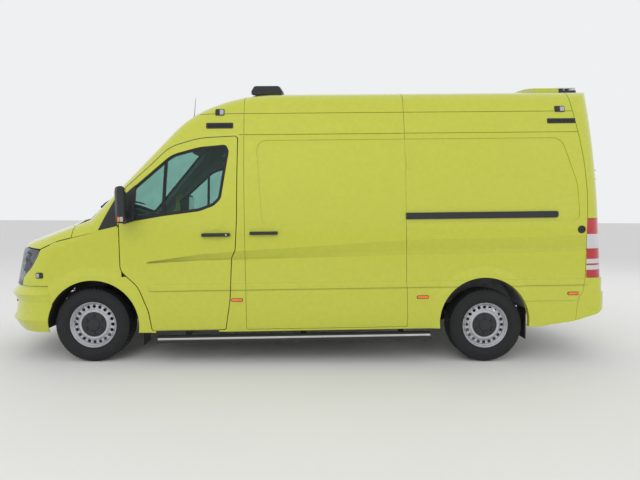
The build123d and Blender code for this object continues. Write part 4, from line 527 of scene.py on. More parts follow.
def solid_material(name, colour, rough=0.4, metal=0.0, grain=60.0, relief=0.05,
                   contrast=0.08, coat=0.0, stretch=(1, 1, 1), depth=0.001):
    """Opaque surface with its grain, tone and wear."""
    material, tree, shader, _ = new_tree(name)
    fine = noise(tree, grain, 4.0, stretch)
    broad = noise(tree, grain / BROAD, 2.0)
    tone = spread(tree, broad, 0.0, 1.0)
    colour_out = tones(tree, tone, scaled(colour, 1 - contrast), scaled(colour, 1 + contrast))
    tree.links.new(colour_out, shader.inputs["Base Color"])
    low, high = ROUGH_SPREAD
    tree.links.new(spread(tree, fine, rough * low, rough * high), shader.inputs["Roughness"])
    shader.inputs["Metallic"].default_value = metal
    shader.inputs["Coat Weight"].default_value = coat
    shader.inputs["Coat Roughness"].default_value = COAT_ROUGHNESS
    relief_node = bump(tree, fine, relief, depth)
    tree.links.new(relief_node.outputs["Normal"], shader.inputs["Normal"])
    return material


def level_height(tree):
    """Length, level height and distance out from the middle of a point, in metres."""
    coords = add_node(tree, "ShaderNodeTexCoord")
    split = add_node(tree, "ShaderNodeSeparateXYZ", {"Vector": coords.outputs["Object"]}).outputs
    c, s = math.cos(STANCE), math.sin(STANCE)
    z = sums(tree, split["Z"], c, split["X"], s, (STANCE_Z * (1 - c) - STANCE_X * s) / 1000)
    x = sums(tree, split["X"], c, split["Z"], -s, (STANCE_X * (1 - c) + STANCE_Z * s) / 1000)
    return x, z, calculated(tree, "ABSOLUTE", split["Y"])


def calculated(tree, operation, *values):
    """Result of a sum, product or the like; each value is a number or a socket."""
    node = add_node(tree, "ShaderNodeMath", enumerate(values), operation=operation)
    return node.outputs["Value"]


def sums(tree, a, a_share, b, b_share, more):
    """a times its share, plus b times its share, plus a constant."""
    return calculated(tree, "MULTIPLY_ADD", b, b_share,
                      calculated(tree, "MULTIPLY_ADD", a, a_share, more))


def profile(tree, value, points):
    """Curve of a value: points of (value, result), straight between them."""
    low, high = points[0][0], points[-1][0]
    results = [r for _, r in points]
    bottom, top = min(results), max(results)
    curve = add_node(tree, "ShaderNodeFloatCurve",
                     {"Value": ranged(tree, value, (low, high), (0.0, 1.0))})
    line = curve.mapping.curves[0]
    while len(line.points) < len(points):
        line.points.new(0.5, 0.5)
    for knot, (v, r) in zip(line.points, points):
        knot.location = ((v - low) / (high - low), (r - bottom) / (top - bottom))
        knot.handle_type = "VECTOR"
    curve.mapping.update()
    return ranged(tree, curve.outputs["Value"], (0.0, 1.0), (bottom, top))


BELT_TOP = ((-3.0, 1.125), (-2.633, 1.121), (-0.965, 1.097), (0.526, 1.02), (0.936, 0.993),
            (1.411, 0.93), (3.0, 0.78))
BELT_BOTTOM = ((-3.0, 1.01), (-0.971, 0.996), (0.527, 0.961), (0.937, 0.951), (1.411, 0.918),
               (3.0, 0.77))
BELT_RELIEF = ((-1.0, 0.0), (-0.35, 0.0), (0.0, -0.026), (1.0, 0.0), (2.0, 0.0))
BAND_RELIEF = ((0.3, 0.0), (0.65, 0.0), (0.66, 0.011), (0.708, 0.011), (0.722, 0.0),
               (2.284, 0.0), (2.288, -0.004), (2.292, -0.004), (2.296, 0.0), (2.5, 0.0))
LOWER_RELIEF = ((0.4, 0.0), (0.506, 0.0), (0.508, -0.004), (0.512, -0.004), (0.514, 0.0),
                (0.6, 0.0))
LOWER_SPAN = ((-3.0, 0.0), (-2.54, 0.0), (-2.53, 1.0), (-1.94, 1.0), (-1.93, 0.0), (3.0, 0.0))
BELT_SPAN = ((-3.0, 0.0), (-2.66, 0.0), (-2.64, 1.0), (1.40, 1.0), (1.43, 0.0), (3.0, 0.0))
SEAM_RELIEF = ((-3.0, 0.0), (-0.966, 0.0), (-0.964, -0.003), (-0.96, -0.003), (-0.958, 0.0),
               (0.522, 0.0), (0.524, -0.003), (0.528, -0.003), (0.53, 0.0), (3.0, 0.0))
SEAM_HEIGHTS = ((0.0, 0.0), (2.09, 0.0), (2.1, 1.0), (2.42, 1.0), (2.43, 0.0), (3.0, 0.0))
SIDE_REACH = ((0.0, 0.0), (0.90, 0.0), (0.93, 1.0), (1.1, 1.0))
SEAM_REACH = ((0.0, 0.0), (0.66, 0.0), (0.70, 1.0), (1.1, 1.0))


def press_lines(tree, shader):
    """Pressed lines of the sides: the belt's crease, the rub band and the roof's grooves."""
    x, z, out = level_height(tree)
    top, bottom = profile(tree, x, BELT_TOP), profile(tree, x, BELT_BOTTOM)
    depth = calculated(tree, "DIVIDE", calculated(tree, "SUBTRACT", z, bottom),
                       calculated(tree, "SUBTRACT", top, bottom))
    belt_span = profile(tree, x, BELT_SPAN)
    total = None
    for relief, *limits in (
            (profile(tree, depth, BELT_RELIEF), belt_span),
            (profile(tree, z, LOWER_RELIEF), profile(tree, x, LOWER_SPAN)),
            (profile(tree, z, BAND_RELIEF), belt_span)):
        for limit in limits:
            relief = calculated(tree, "MULTIPLY", relief, limit)
        total = relief if total is None else calculated(tree, "ADD", total, relief)
    total = calculated(tree, "MULTIPLY", total, profile(tree, out, SIDE_REACH))
    seams = calculated(tree, "MULTIPLY", profile(tree, x, SEAM_RELIEF),
                       profile(tree, z, SEAM_HEIGHTS))
    seams = calculated(tree, "MULTIPLY", seams, profile(tree, out, SEAM_REACH))
    press = bump(tree, calculated(tree, "ADD", total, seams), 1.0, 1.0)
    grain = shader.inputs["Normal"].links[0].from_node
    tree.links.new(press.outputs["Normal"], grain.inputs["Normal"])


BAND_FROM = 0.7
BAND_TO = 1.3


def banded(tree, shader, points):
    """Base colour in bands of level height: (height from, colour)."""
    _, z, _ = level_height(tree)
    ramp = add_node(tree, "ShaderNodeValToRGB",
                    {"Fac": ranged(tree, z, (BAND_FROM, BAND_TO), (0.0, 1.0))})
    ramp.color_ramp.interpolation = "CONSTANT"
    stops = ramp.color_ramp.elements
    while len(stops) < len(points):
        stops.new(0.5)
    for stop, (height, colour) in zip(stops, points):
        stop.position = (height - BAND_FROM) / (BAND_TO - BAND_FROM)
        stop.color = (*colour, 1)
    tree.links.new(ramp.outputs["Color"], shader.inputs["Base Color"])


RED = (0.42, 0.006, 0.014)
CLEAR = (0.52, 0.53, 0.54)
DARK_RED = (0.16, 0.004, 0.008)
LAMP_BANDS = ((0.7, DARK_RED), (0.730, RED), (0.797, CLEAR), (0.839, RED), (0.857, CLEAR),
              (0.899, RED), (0.996, CLEAR), (1.129, RED), (1.274, DARK_RED))


GLASS_ROUGH = 0.02
GLASS_GRAIN = 8.0
GLASS_TONE = 0.96
GLASS_BODY = 0.15
GLASS_IOR = 1.5


def glass_material(name, tint, pass_through):
    """Thin tinted pane: part see-through, part sharp reflection."""
    material, tree, shader, out = new_tree(name)
    fine = noise(tree, GLASS_GRAIN, 2.0)
    tint_out = tones(tree, spread(tree, fine, 0.0, 1.0), scaled(tint, GLASS_TONE), tint)
    clear = add_node(tree, "ShaderNodeBsdfTransparent", {"Color": tint_out})
    shader.inputs["Base Color"].default_value = (*scaled(tint, GLASS_BODY), 1)
    shader.inputs["Roughness"].default_value = GLASS_ROUGH
    shader.inputs["IOR"].default_value = GLASS_IOR
    mix = add_node(tree, "ShaderNodeMixShader", {
        "Fac": spread(tree, fine, pass_through - 0.01, pass_through),
        1: shader.outputs["BSDF"], 2: clear.outputs["BSDF"]})
    tree.links.new(mix.outputs["Shader"], out.inputs["Surface"])
    return material


MATERIALS = {}
PANES = (
    ("glass", (0.74, 0.90, 0.86), 0.88),
    ("dark_glass", (0.20, 0.23, 0.24), 0.5),
    ("lamp_clear", (0.93, 0.95, 0.97), 0.8),
)
SURFACES = (
    ("black_plastic", (0.018, 0.019, 0.021), 0.5, dict(grain=1400.0, relief=0.25, depth=0.0004)),
    ("lamp_red", (0.34, 0.006, 0.012), 0.16,
     dict(grain=500.0, relief=0.25, coat=1.0, depth=0.0008)),
    ("lamp_amber", (0.85, 0.16, 0.008), 0.18,
     dict(grain=400.0, relief=0.25, coat=1.0, depth=0.0008)),
    ("tyre", (0.006, 0.0065, 0.008), 0.66,
     dict(grain=800.0, relief=0.3, contrast=0.2, depth=0.0005)),
    ("wheel_silver", (0.46, 0.47, 0.50), 0.36,
     dict(metal=0.55, grain=700.0, relief=0.08, coat=0.3, depth=0.0003)),
    ("chassis_black", (0.02, 0.02, 0.021), 0.6, dict(grain=300.0, relief=0.3, contrast=0.25)),
    ("cast", (0.09, 0.09, 0.095), 0.62, dict(metal=0.5, grain=260.0, relief=0.5, contrast=0.25)),
    ("steel", (0.30, 0.29, 0.28), 0.42,
     dict(metal=0.9, grain=220.0, relief=0.2, contrast=0.2, stretch=(0.2, 1, 1))),
    ("aluminium", (0.62, 0.63, 0.65), 0.3,
     dict(metal=0.95, grain=400.0, relief=0.1, stretch=(0.1, 1, 1))),
    ("trim_grey", (0.055, 0.057, 0.062), 0.62, dict(grain=1100.0, relief=0.3, depth=0.0004)),
    ("fabric", (0.035, 0.037, 0.042), 0.95, dict(grain=1500.0, relief=0.6, contrast=0.25)),
    ("floor_grey", (0.16, 0.165, 0.17), 0.6, dict(grain=700.0, relief=0.3, contrast=0.12)),
    ("rubber", (0.012, 0.012, 0.013), 0.62, dict(grain=900.0, relief=0.2, depth=0.0004)),
    ("reflector", (0.78, 0.79, 0.80), 0.12,
     dict(metal=1.0, grain=120.0, relief=0.3, contrast=0.05)),
    ("lamp_chrome", (0.32, 0.33, 0.35), 0.3,
     dict(metal=0.85, grain=90.0, relief=0.2, contrast=0.15)),
    ("dark_mesh", (0.01, 0.01, 0.011), 0.7, dict(grain=600.0, relief=0.4)),
    ("disc_steel", (0.34, 0.33, 0.32), 0.38,
     dict(metal=0.9, grain=300.0, relief=0.2, contrast=0.15)),
    ("mirror", (0.72, 0.74, 0.75), 0.04, dict(metal=1.0, grain=4.0, relief=0.01, contrast=0.02)),
    ("lamp_red_plain", RED, 0.16, dict(grain=500.0, relief=0.25, coat=1.0, depth=0.0008)),
    ("lens_grey", (0.36, 0.37, 0.39), 0.2, dict(grain=300.0, relief=0.3, coat=0.6, depth=0.0008)),
    ("liner_grey", (0.20, 0.21, 0.22), 0.8,
     dict(grain=1300.0, relief=0.25, contrast=0.06, depth=0.0004)),
    ("white_plastic", (0.70, 0.70, 0.69), 0.4, dict(grain=900.0, relief=0.1, contrast=0.03)),
)


def make_materials():
    """Every material of the van, by slot and by detail name."""
    yellow = tuple(bpy.context.scene.van_colours.body)
    MATERIALS["body_yellow"] = solid_material(
        "body_yellow", yellow, 0.32, grain=900.0, relief=0.02, contrast=0.03, coat=0.8,
        depth=0.0003)
    for name, tint, pass_through in PANES:
        MATERIALS[name] = glass_material(name, tint, pass_through)
    for name, colour, rough, rest in SURFACES:
        MATERIALS[name] = solid_material(name, colour, rough, **rest)
    paint = MATERIALS["body_yellow"].node_tree
    press_lines(paint, paint.nodes["Principled BSDF"])
    tail = MATERIALS["lamp_red"].node_tree
    banded(tail, tail.nodes["Principled BSDF"], LAMP_BANDS)


def dress_frame():
    """Each carried-over node gets the material of its slot."""
    rows = {r["node"]: r["material_slot"] for r in frame["record"]["subparts"]}
    for name, obj in frame["nodes"].items():
        obj.data.materials.clear()
        obj.data.materials.append(MATERIALS[rows[name]])
        obj.data.set_sharp_from_angle(angle=math.radians(SHARP_ANGLE))


# Settings


class VanSizes(bpy.types.PropertyGroup):
    """Sizes that a user would change."""
    floor_reach: bpy.props.FloatProperty(
        name="Floor reach", description="Half width of the studio floor", default=60.0,
        unit="LENGTH")
    camera_lens: bpy.props.FloatProperty(
        name="Lens", description="Focal length on a 36 mm sensor", default=27.06,
        subtype="UNSIGNED")


class VanColours(bpy.types.PropertyGroup):
    """Colours that a user would change."""
    body: bpy.props.FloatVectorProperty(
        name="Body", description="Body paint", default=(0.47, 0.50, 0.026), subtype="COLOR")
    floor: bpy.props.FloatVectorProperty(
        name="Floor", description="Studio floor", default=(0.72, 0.72, 0.72),
        subtype="COLOR")
    backdrop: bpy.props.FloatVectorProperty(
        name="Backdrop", description="Studio background", default=(0.86, 0.87, 0.88),
        subtype="COLOR")


class VAN_OT_finishes(bpy.types.Operator):
    """Give every carried-over part its material"""
    bl_idname = "van.finishes"
    bl_label = "Finishes"

    def execute(self, context):
        make_materials()
        dress_frame()
        return {"FINISHED"}


# Wheels

RIM = (
    (217, 88), (213, 89.5), (208, 88), (203, 82), (199, 74), (194, 68), (188, 62), (186, 52),
    (186, 36), (180, 24), (180, -24), (190, -36), (194, -60), (199, -76), (208, -88),
    (214, -89), (217, -87), (217, -80), (206, -79), (203, -60), (200, -36), (188, -24),
    (188, 24), (196, 36), (203, 60), (206, 79), (216, 80),
)
DISH = ((187, 57), (182, 62), (176, 63.5), (160, 62), (150, 65), (146, 67))
INNER_RING = (
    (147, 66), (142, 71), (137, 76), (131, 78.5), (122, 78), (116, 74), (113, 66), (60, 60),
    (60, 54), (116, 58), (140, 60), (147, 61),
)
HUB_COVER = (
    (0, 62), (113, 62), (113, 70), (111, 75), (106, 78), (98, 79), (66, 80), (58, 81.5),
    (55, 86), (52, 89), (46, 90), (20, 90.5), (0, 90.5),
)
BRAKE = (
    (36, -41), (142, -41), (142, -32), (138, -31), (138, -25), (142, -24), (142, -15),
    (96, -15), (92, 4), (36, 4),
)
HOLE_COUNT = 20
HOLE_AT = 168.0
HOLE_RADIUS = 15.5
HOLE_RINGS = ((1, 0, 0), (0.5, 1.25, 0), (0, 1.22, 0), (0, 1.06, 1.2), (0, 1.0, 3.5),
              (0, 0.99, 9))
HOLE_STEPS = 6
DISH_THICKNESS = 0.0035
LUGS = 6
LUG_AT = 82.0
LUG = ((0, 76), (16, 76), (16, 82), (14, 87), (9, 89), (0, 89))
STEM_AT = 176.0
STEM_ANGLE = 0.16
STEM = ((58, 4), (66, 4), (74, 3.6), (82, 3.6), (84, 2.6))


def wheel_place(x, way):
    """Place for (across, up, out) from the middle of a wheel."""
    return lambda u, v, out: Vector((x + u, way * (HALF_TRACK + out), AXLE_Z + v)) / 1000


def pierced_dish(place):
    """Dish with a row of round holes, their edges turned in, as one thin shell."""
    radii = [r for r, _ in DISH]
    outs = [y for _, y in DISH]
    low, high = radii[-1], radii[0]
    half = math.pi / HOLE_COUNT
    corners = []
    for radius, side in ((low, -half), (high, -half), (high, half), (low, half)):
        corners.append(math.atan2(radius * math.sin(side), radius * math.cos(side) - HOLE_AT))
    corners = sorted(a % (2 * math.pi) for a in corners)
    angles = []
    for i, start in enumerate(corners):
        end = corners[(i + 1) % 4] + (2 * math.pi if i == 3 else 0)
        angles.extend(start + (end - start) * k / HOLE_STEPS for k in range(HOLE_STEPS))
    border = []
    for angle in angles:
        du, dv = math.cos(angle), math.sin(angle)
        reach = []
        for radius in (low, high):
            b, c = HOLE_AT * du, HOLE_AT ** 2 - radius ** 2
            root = b * b - c
            if root >= 0:
                reach.extend((-b - math.sqrt(root), -b + math.sqrt(root)))
        for side in (-half, half):
            under = math.sin(side) * du - math.cos(side) * dv
            if abs(under) > 1e-9:
                reach.append(-math.sin(side) * HOLE_AT / under)
        far = min(r for r in reach if r > 1)
        border.append((HOLE_AT + far * du, far * dv))
    work = bmesh.new()
    for k in range(HOLE_COUNT):
        turn = 2 * math.pi * k / HOLE_COUNT
        rings = []
        for share, size, sink in HOLE_RINGS:
            ring = []
            for (bu, bv), angle in zip(border, angles):
                hu = HOLE_AT + size * HOLE_RADIUS * math.cos(angle)
                hv = size * HOLE_RADIUS * math.sin(angle)
                u, v = bu * share + hu * (1 - share), bv * share + hv * (1 - share)
                radius = math.hypot(u, v)
                out = float(np.interp(radius, radii[::-1], outs[::-1])) - sink
                around = math.atan2(v, u) + turn
                ring.append(work.verts.new(
                    place(radius * math.cos(around), radius * math.sin(around), out)))
            rings.append(ring)
        for a, b in zip(rings, rings[1:]):
            for i in range(len(a)):
                j = (i + 1) % len(a)
                work.faces.new((a[i], a[j], b[j], b[i]))
    bmesh.ops.remove_doubles(work, verts=work.verts, dist=MERGE_DISTANCE)
    bmesh.ops.recalc_face_normals(work, faces=work.faces)
    bmesh.ops.solidify(work, geom=work.faces, thickness=DISH_THICKNESS)
    return shape_of(work)


TYRE_SIDE = (
    (204, 78), (209, 84), (214, 91), (219, 97), (223, 100), (226, 101), (229, 100.5),
    (234, 104), (246, 109.5), (260, 113), (274, 114), (290, 112.8), (303, 110.2),
    (304.5, 111.4), (308, 111), (309.5, 109), (316, 107), (317.5, 108), (321, 107.2),
    (322.5, 105.6), (328, 102.5), (333, 99), (337, 95.5),
)
TREAD_EDGES = (94, 90, 67, 66, 58, 57, 45, 32, 31, 22, 21, 10)
PITCHES = 60
PITCH_STEPS = (0.0, 0.02, 0.16, 0.18, 0.5, 0.52, 0.66, 0.68)
GAP_STEPS = (1, 2)
LATE_GAP_STEPS = (5, 6)
INNER_GROOVE = (22, 31)
OUTER_GROOVE = (58, 66)
GROOVE_DEPTH = 8.0
GAP_DEPTH = 6.0
TREAD_FROM_RADIUS = 337.5
RIB_RADII = (321, 337.2)
RIB_DEPTH = 2.5
CROWN_RADIUS = 345.6
CROWN_DROP = 7.0
CROWN_HALF = 95
CROWN_POWER = 2.4


def tread_depth(y, step):
    """Depth of the tread pattern at a place across and a step along one pitch."""
    wide = abs(y)
    for inner, outer in (INNER_GROOVE, OUTER_GROOVE):
        if inner <= wide <= outer:
            return GROOVE_DEPTH
    between = INNER_GROOVE[1] < wide < OUTER_GROOVE[0]
    if wide > OUTER_GROOVE[1] and step in GAP_STEPS or between and step in LATE_GAP_STEPS:
        return GAP_DEPTH
    return 0.0


def tyre_shape(place):
    """Tyre with ribbed shoulders, a rim guard and a blocked tread."""
    crown = [(CROWN_RADIUS - CROWN_DROP * (abs(y) / CROWN_HALF) ** CROWN_POWER, y)
             for y in TREAD_EDGES]
    half = list(TYRE_SIDE) + crown
    section = half + [(AXLE_Z, 0)] + [(r, -y) for r, y in reversed(half)]
    rings = []
    for pitch in range(PITCHES):
        for step, share in enumerate(PITCH_STEPS):
            angle = 2 * math.pi * (pitch + share) / PITCHES
            ring = []
            for r, y in section:
                r = r - (tread_depth(y, step) if r > TREAD_FROM_RADIUS else 0)
                if RIB_RADII[0] < r < RIB_RADII[1] and step in GAP_STEPS:
                    r = r - RIB_DEPTH
                ring.append(place(r * math.cos(angle), r * math.sin(angle), y))
            rings.append(ring)
    return skin(rings, around=True)


class VAN_OT_wheels(bpy.types.Operator):
    """Build the pierced steel wheels with their hub covers and discs"""
    bl_idname = "van.wheels"
    bl_label = "Wheels"

    def execute(self, context):
        for axle, x in AXLES:
            for side, way in SIDES:
                place = wheel_place(x, way)
                wheel = Build(f"steel_wheel_{axle}_{side}")
                wheel.add(lathe(RIM, place), "wheel_silver")
                wheel.add(pierced_dish(place), "wheel_silver")
                wheel.add(lathe(INNER_RING, place), "wheel_silver")
                wheel.add(lathe(HUB_COVER, place), "black_plastic")
                for k in range(LUGS):
                    angle = 2 * math.pi * (k + 0.5) / LUGS
                    at = shifted(place, LUG_AT * math.cos(angle), LUG_AT * math.sin(angle))
                    wheel.add(lathe(LUG, at, 24), "black_plastic")
                wheel.add(lathe(BRAKE, place, 72), "disc_steel")
                stem = [place(STEM_AT * math.cos(STEM_ANGLE), STEM_AT * math.sin(STEM_ANGLE), out)
                        for out, _ in STEM]
                wheel.add(tube(stem, [radius for _, radius in STEM], 12), "rubber")
                wheel.done(f"wheel_{axle}_{side}_body",
                           [f"wheel_{axle}_{side}"])
        return {"FINISHED"}


class VAN_OT_tyres(bpy.types.Operator):
    """Build the treaded tyres"""
    bl_idname = "van.tyres"
    bl_label = "Tyres"

    def execute(self, context):
        for axle, x in AXLES:
            for side, way in SIDES:
                tyre = Build(f"treaded_tyre_{axle}_{side}")
                tyre.add(tyre_shape(wheel_place(x, way)), "tyre")
                tyre.done(f"wheel_{axle}_{side}_body", [f"tyre_{axle}_{side}"])
        return {"FINISHED"}


# Windows, mirrors and door fittings

CAB_WINDOW = (
    (1622, 1290, 25), (1264, 1348, 300), (935, 1388, 200), (802, 1436, 120), (738, 1500, 90),
    (664, 1935, 60), (690, 1996, 40), (932, 1976, 500), (1185, 1908, 300), (1330, 1782, 300),
    (1622, 1528, 25),
)
SEAL = ((1.5, -12), (1.5, 0.5), (-2, 2), (-7, 1.5), (-9, -2), (-24, -4), (-26, -5.5), (-26, -9),
        (-8, -12))
DIVIDER = ((1246, 1905, 4), (1218, 1905, 4), (1250, 1340, 4), (1280, 1340, 4))
MIRROR_FOOT = ((1626, 1276, 6), (1626, 1530, 8), (1502, 1640, 10), (1528, 1304, 10))
MIRROR_REAR = ((1563, 1062), (1512, 1238))
MIRROR_HEAD = ((1563, 1062, 16), (1512, 1238, 18), (1574, 1238, 34), (1626, 1160, 60),
               (1638, 1062, 20))
TAIL_WINDOW = ((130, 1395, 60), (690, 1395, 60), (690, 2000, 60), (130, 2000, 60))
SCREEN = ((-845, 1060, 90), (845, 1060, 90), (690, 40, 90), (-690, 40, 90))
SCREEN_EDGE = ((-6, -3), (-6, 2), (-9, 3), (-14, 1.4), (-46, 1.2), (-47, 0.4), (-47, -0.6),
               (-14, -3))
DIVIDER_SECTION = ((0, -14), (0, -3), (-3, -1), (-6, -0.5))
MIRROR_FOOT_SECTION = ((0, -10), (0, 4), (-3, 8), (-8, 9))


class VAN_OT_seals(bpy.types.Operator):
    """Build the seals and black edges of the panes"""
    bl_idname = "van.seals"
    bl_label = "Window seals"

    def execute(self, context):
        window = rounded(CAB_WINDOW)
        for side, way in SIDES:
            place = on_side(way)
            seal = Build(f"door_window_seal_{side}")
            seal.add(moulding(window, SEAL, place), "rubber")
            seal.add(plate(rounded(DIVIDER), DIVIDER_SECTION, place), "rubber")
            seal.add(plate(rounded(MIRROR_FOOT), MIRROR_FOOT_SECTION, place), "black_plastic")
            seal.done(f"door_{side}_body")
            tail = Build(f"rear_window_seal_{side}")
            place = lambda y, z, out, way=way: on_tail(way * y, z, out)
            tail.add(moulding(rounded(TAIL_WINDOW), SEAL, place), "rubber")
            tail.done(f"rear_door_{side}_body")
        edge = Build("windscreen_edge")
        place = drape(on_screen, "windscreen")
        edge.add(moulding(rounded(SCREEN), SCREEN_EDGE, place), "rubber")
        edge.done(VAN)
        return {"FINISHED"}


MIRROR_LAYERS = ((-16, 1290), (-5, 1296), (0, 1312), (0, 1390), (0, 1560), (-4, 1592),
                 (-12, 1606), (-24, 1611))
MIRROR_ARM_Y = 960.0
MIRROR_ARM = ((1602, 1634, 1332, 1378, -2, 118, 10, 4, "black_plastic"),)
MIRROR_OUTER_Y = 1238.0
MIRROR_PANE_Y = (1080, 1220)
MIRROR_PANES_Z = ((1310, 1386), (1398, 1588))
MIRROR_PANE_CORNER = 14
MIRROR_PANE_RIM = ((3, -1), (3, 3), (0, 5), (-3, 4))
MIRROR_PANE = ((-3, 1), (-3, 4.2), (-4, 4.8))
INDICATOR = (
    (1528, 1556, 1304, 1346, -4, 4, 6, 3, "lens_grey"),
    (1558, 1576, 1304, 1346, -4, 4, 6, 3, "lamp_amber"),
)
HANDLE = (
    (656, 916, 1154, 1186, 14, 40, 16, 9, "black_plastic"),
    (664, 712, 1156, 1184, -2, 20, 10, 3, "black_plastic"),
    (868, 908, 1156, 1184, -2, 20, 10, 3, "black_plastic"),
)
HANDLE_BOWL = (786, 1170, 50)
HANDLE_BOWL_RIM = ((3, -2), (3, 0.4), (0, 2.6), (-3, 0.4), (-3, -2))
LOCK = (690, 1170, 39)
LOCK_FACE = ((0, -4), (9, -4), (9, 0.6), (8, 1.4), (3, 1.4), (2.4, 0.4), (0, 0.4))


def on_mirror_back(way):
    """Place for (y, z, out) on the slanted rear face of one side's mirror head."""
    (x0, y0), (x1, y1) = MIRROR_REAR
    slope = (x1 - x0) / (y1 - y0)
    return lambda y, z, out: row(x0 + (y - y0) * slope - out, way * y, z)


class VAN_OT_mirrors(bpy.types.Operator):
    """Build the mirrors, their glasses and indicators, and the doors' handles and locks"""
    bl_idname = "van.mirrors"
    bl_label = "Mirrors, handles and locks"

    def execute(self, context):
        for side, way in SIDES:
            body = f"door_{side}_body"
            skin_of = on_side(way)
            head = Build(f"mirror_and_handle_{side}")
            shape = rounded(MIRROR_HEAD, 6, 30.0)
            head.add(plate(shape, MIRROR_LAYERS, level(0, way), 3), "black_plastic")
            head.blocks(MIRROR_ARM, beside(MIRROR_ARM_Y, way))
            head.blocks(HANDLE, skin_of)
            head.done(body, [f"door_trim_{side}"])
            back = on_mirror_back(way)
            glass = Build(f"mirror_glass_{side}")
            for z0, z1 in MIRROR_PANES_Z:
                line = oblong(*MIRROR_PANE_Y, z0, z1, MIRROR_PANE_CORNER)
                glass.add(plate(line, MIRROR_PANE_RIM, back), "black_plastic")
                glass.add(plate(line, MIRROR_PANE, back), "mirror")
            glass.done(body)
            lens = Build(f"mirror_indicator_{side}")
            lens.blocks(INDICATOR, beside(MIRROR_OUTER_Y, way))
            lens.done(body)
            lock = Build(f"door_lock_{side}")
            x, z, radius = HANDLE_BOWL
            circle = [(x + radius * math.cos(a), z + radius * math.sin(a))
                      for a in np.linspace(0, 2 * math.pi, 48, endpoint=False)]
            lock.add(moulding(circle, HANDLE_BOWL_RIM, skin_of), "body_yellow")
            lock.add(lathe(LOCK_FACE, shifted(skin_of, *LOCK), 32), "aluminium")
            lock.done(body)
        return {"FINISHED"}


# Lamps

SIDE_MARKERS = ((554, 664, 549, 581), (-1170, -1056, 549, 581), (-2578, -2470, 562, 594))
CORNER_LAMPS = ((709, 793, 2273, 2336), (-2490, -2395, 2281, 2340))
STRIP_LAMPS = ((626, 875, 2149, 2203), (-2579, -2312, 2171, 2219))
FLASHER = (2371, 2444, 790, 844)
SOCKET = (-2593, 1176)
SOCKET_RING = ((0, -14), (36, -14), (36, 4), (31, 8), (27, 7), (26, 2), (0, 2))
SOCKET_BUSH = ((0, 0), (9, 0), (9, 5), (7, 7), (0, 7))
MARKER_BASE = (-6, 4, 15, 3, "black_plastic")
MARKER_LENS = (0, 9, 11, 4, "lamp_amber")
MARKER_RIM = (5, 4)
CORNER_BASE = (-20, 8, 12, 4, "black_plastic")
CORNER_LENS = (0, 11, 8, 3, "lens_grey")
CORNER_RIM = (6, 7)
STRIP_BASE = (-12, 7, 10, 4, "black_plastic")
STRIP_LENS = (0, 9, 5, 2, "dark_glass")
STRIP_RIM = (12, 13)
STRIP_PARTS = 6
STRIP_GAP = 4
FLASHER_BASE = (-4, 7, 14, 4, "black_plastic")
FLASHER_LENS = (0, 10, 9, 3, "lens_grey")
FLASHER_RIM = (7, 8)
NOSE_X = 2800.0
HEADLAMP_BOWLS = ((610, 868, 62, 42), (748, 905, 56, 48), (672, 985, 30, 34))
HEADLAMP_BOWL_DEPTH = 40
HEADLAMP_STRIP_Y = range(540, 800, 20)
HEADLAMP_STRIP_START = (560, 1012)
HEADLAMP_STRIP_RISE = 0.05
HEADLAMP_STRIP_OUT = -26
LENS_OUTWARD = 0.5
LENS_AHEAD = (0.2, 0.04)
LENS_THICKNESS = 0.003
HOUSING_THICKNESS = 0.002


def bowl(radius, depth):
    """Section of an open reflector, as thick as its wall."""
    outer = [(radius * math.sin(a), -depth * math.cos(a))
             for a in np.linspace(0, math.pi / 2, 9)]
    inner = [(max(0.0, r - 2), y + 2) for r, y in reversed(outer)]
    return outer + [(radius + 4, 0), (radius + 4, 3), (radius - 2, 3)] + inner


def projector(radius):
    """Section of the lens in the middle of a headlamp's bowl."""
    return ((0, -20), (radius * 0.42, -20), (radius * 0.42, -4), (radius * 0.34, 4),
            (radius * 0.2, 8), (0, 9))


def framed(limits, base, lens, rim, half=0):
    """Blocks of one lamp: a base, and inside its rim a lens, on one half of it or on both."""
    x0, x1, z0, z1 = limits
    middle = (x0 + x1) / 2
    start = middle if half > 0 else x0 + rim[0]
    end = middle if half < 0 else x1 - rim[0]
    return (*limits, *base), (start, end, z0 + rim[1], z1 - rim[1], *lens)


def strip_blocks(limits):
    """Blocks of one lamp strip: a base and its row of lenses."""
    x0, x1, z0, z1 = limits
    rim, rim_z = STRIP_RIM
    length = x1 - x0 - 2 * rim
    blocks = [(*limits, *STRIP_BASE)]
    for k in range(STRIP_PARTS):
        start = x0 + rim + length * k / STRIP_PARTS
        end = x0 + rim - STRIP_GAP + length * (k + 1) / STRIP_PARTS
        blocks.append((start, end, z0 + rim_z, z1 - rim_z, *STRIP_LENS))
    return blocks


def parted(name, way):
    """One side's share of a node's mesh: points, and faces with their outward directions."""
    mesh = frame["nodes"][name].data
    faces = [p.vertices[:] for p in mesh.polygons if p.center.y * way > 0]
    normals = [p.normal.copy() for p in mesh.polygons if p.center.y * way > 0]
    return [v.co.copy() for v in mesh.vertices], faces, normals


def shell_of(points, faces, thickness):
    """Thin closed shell of some faces, thickened inward."""
    work = bmesh.new()
    verts = [work.verts.new(p) for p in points]
    for face in faces:
        try:
            work.faces.new([verts[i] for i in face])
        except ValueError:
            pass
    bmesh.ops.remove_doubles(work, verts=work.verts, dist=0.00002)
    loose = [v for v in work.verts if not v.link_faces]
    bmesh.ops.delete(work, geom=loose, context="VERTS")
    bmesh.ops.solidify(work, geom=work.faces, thickness=thickness)
    return shape_of(work)


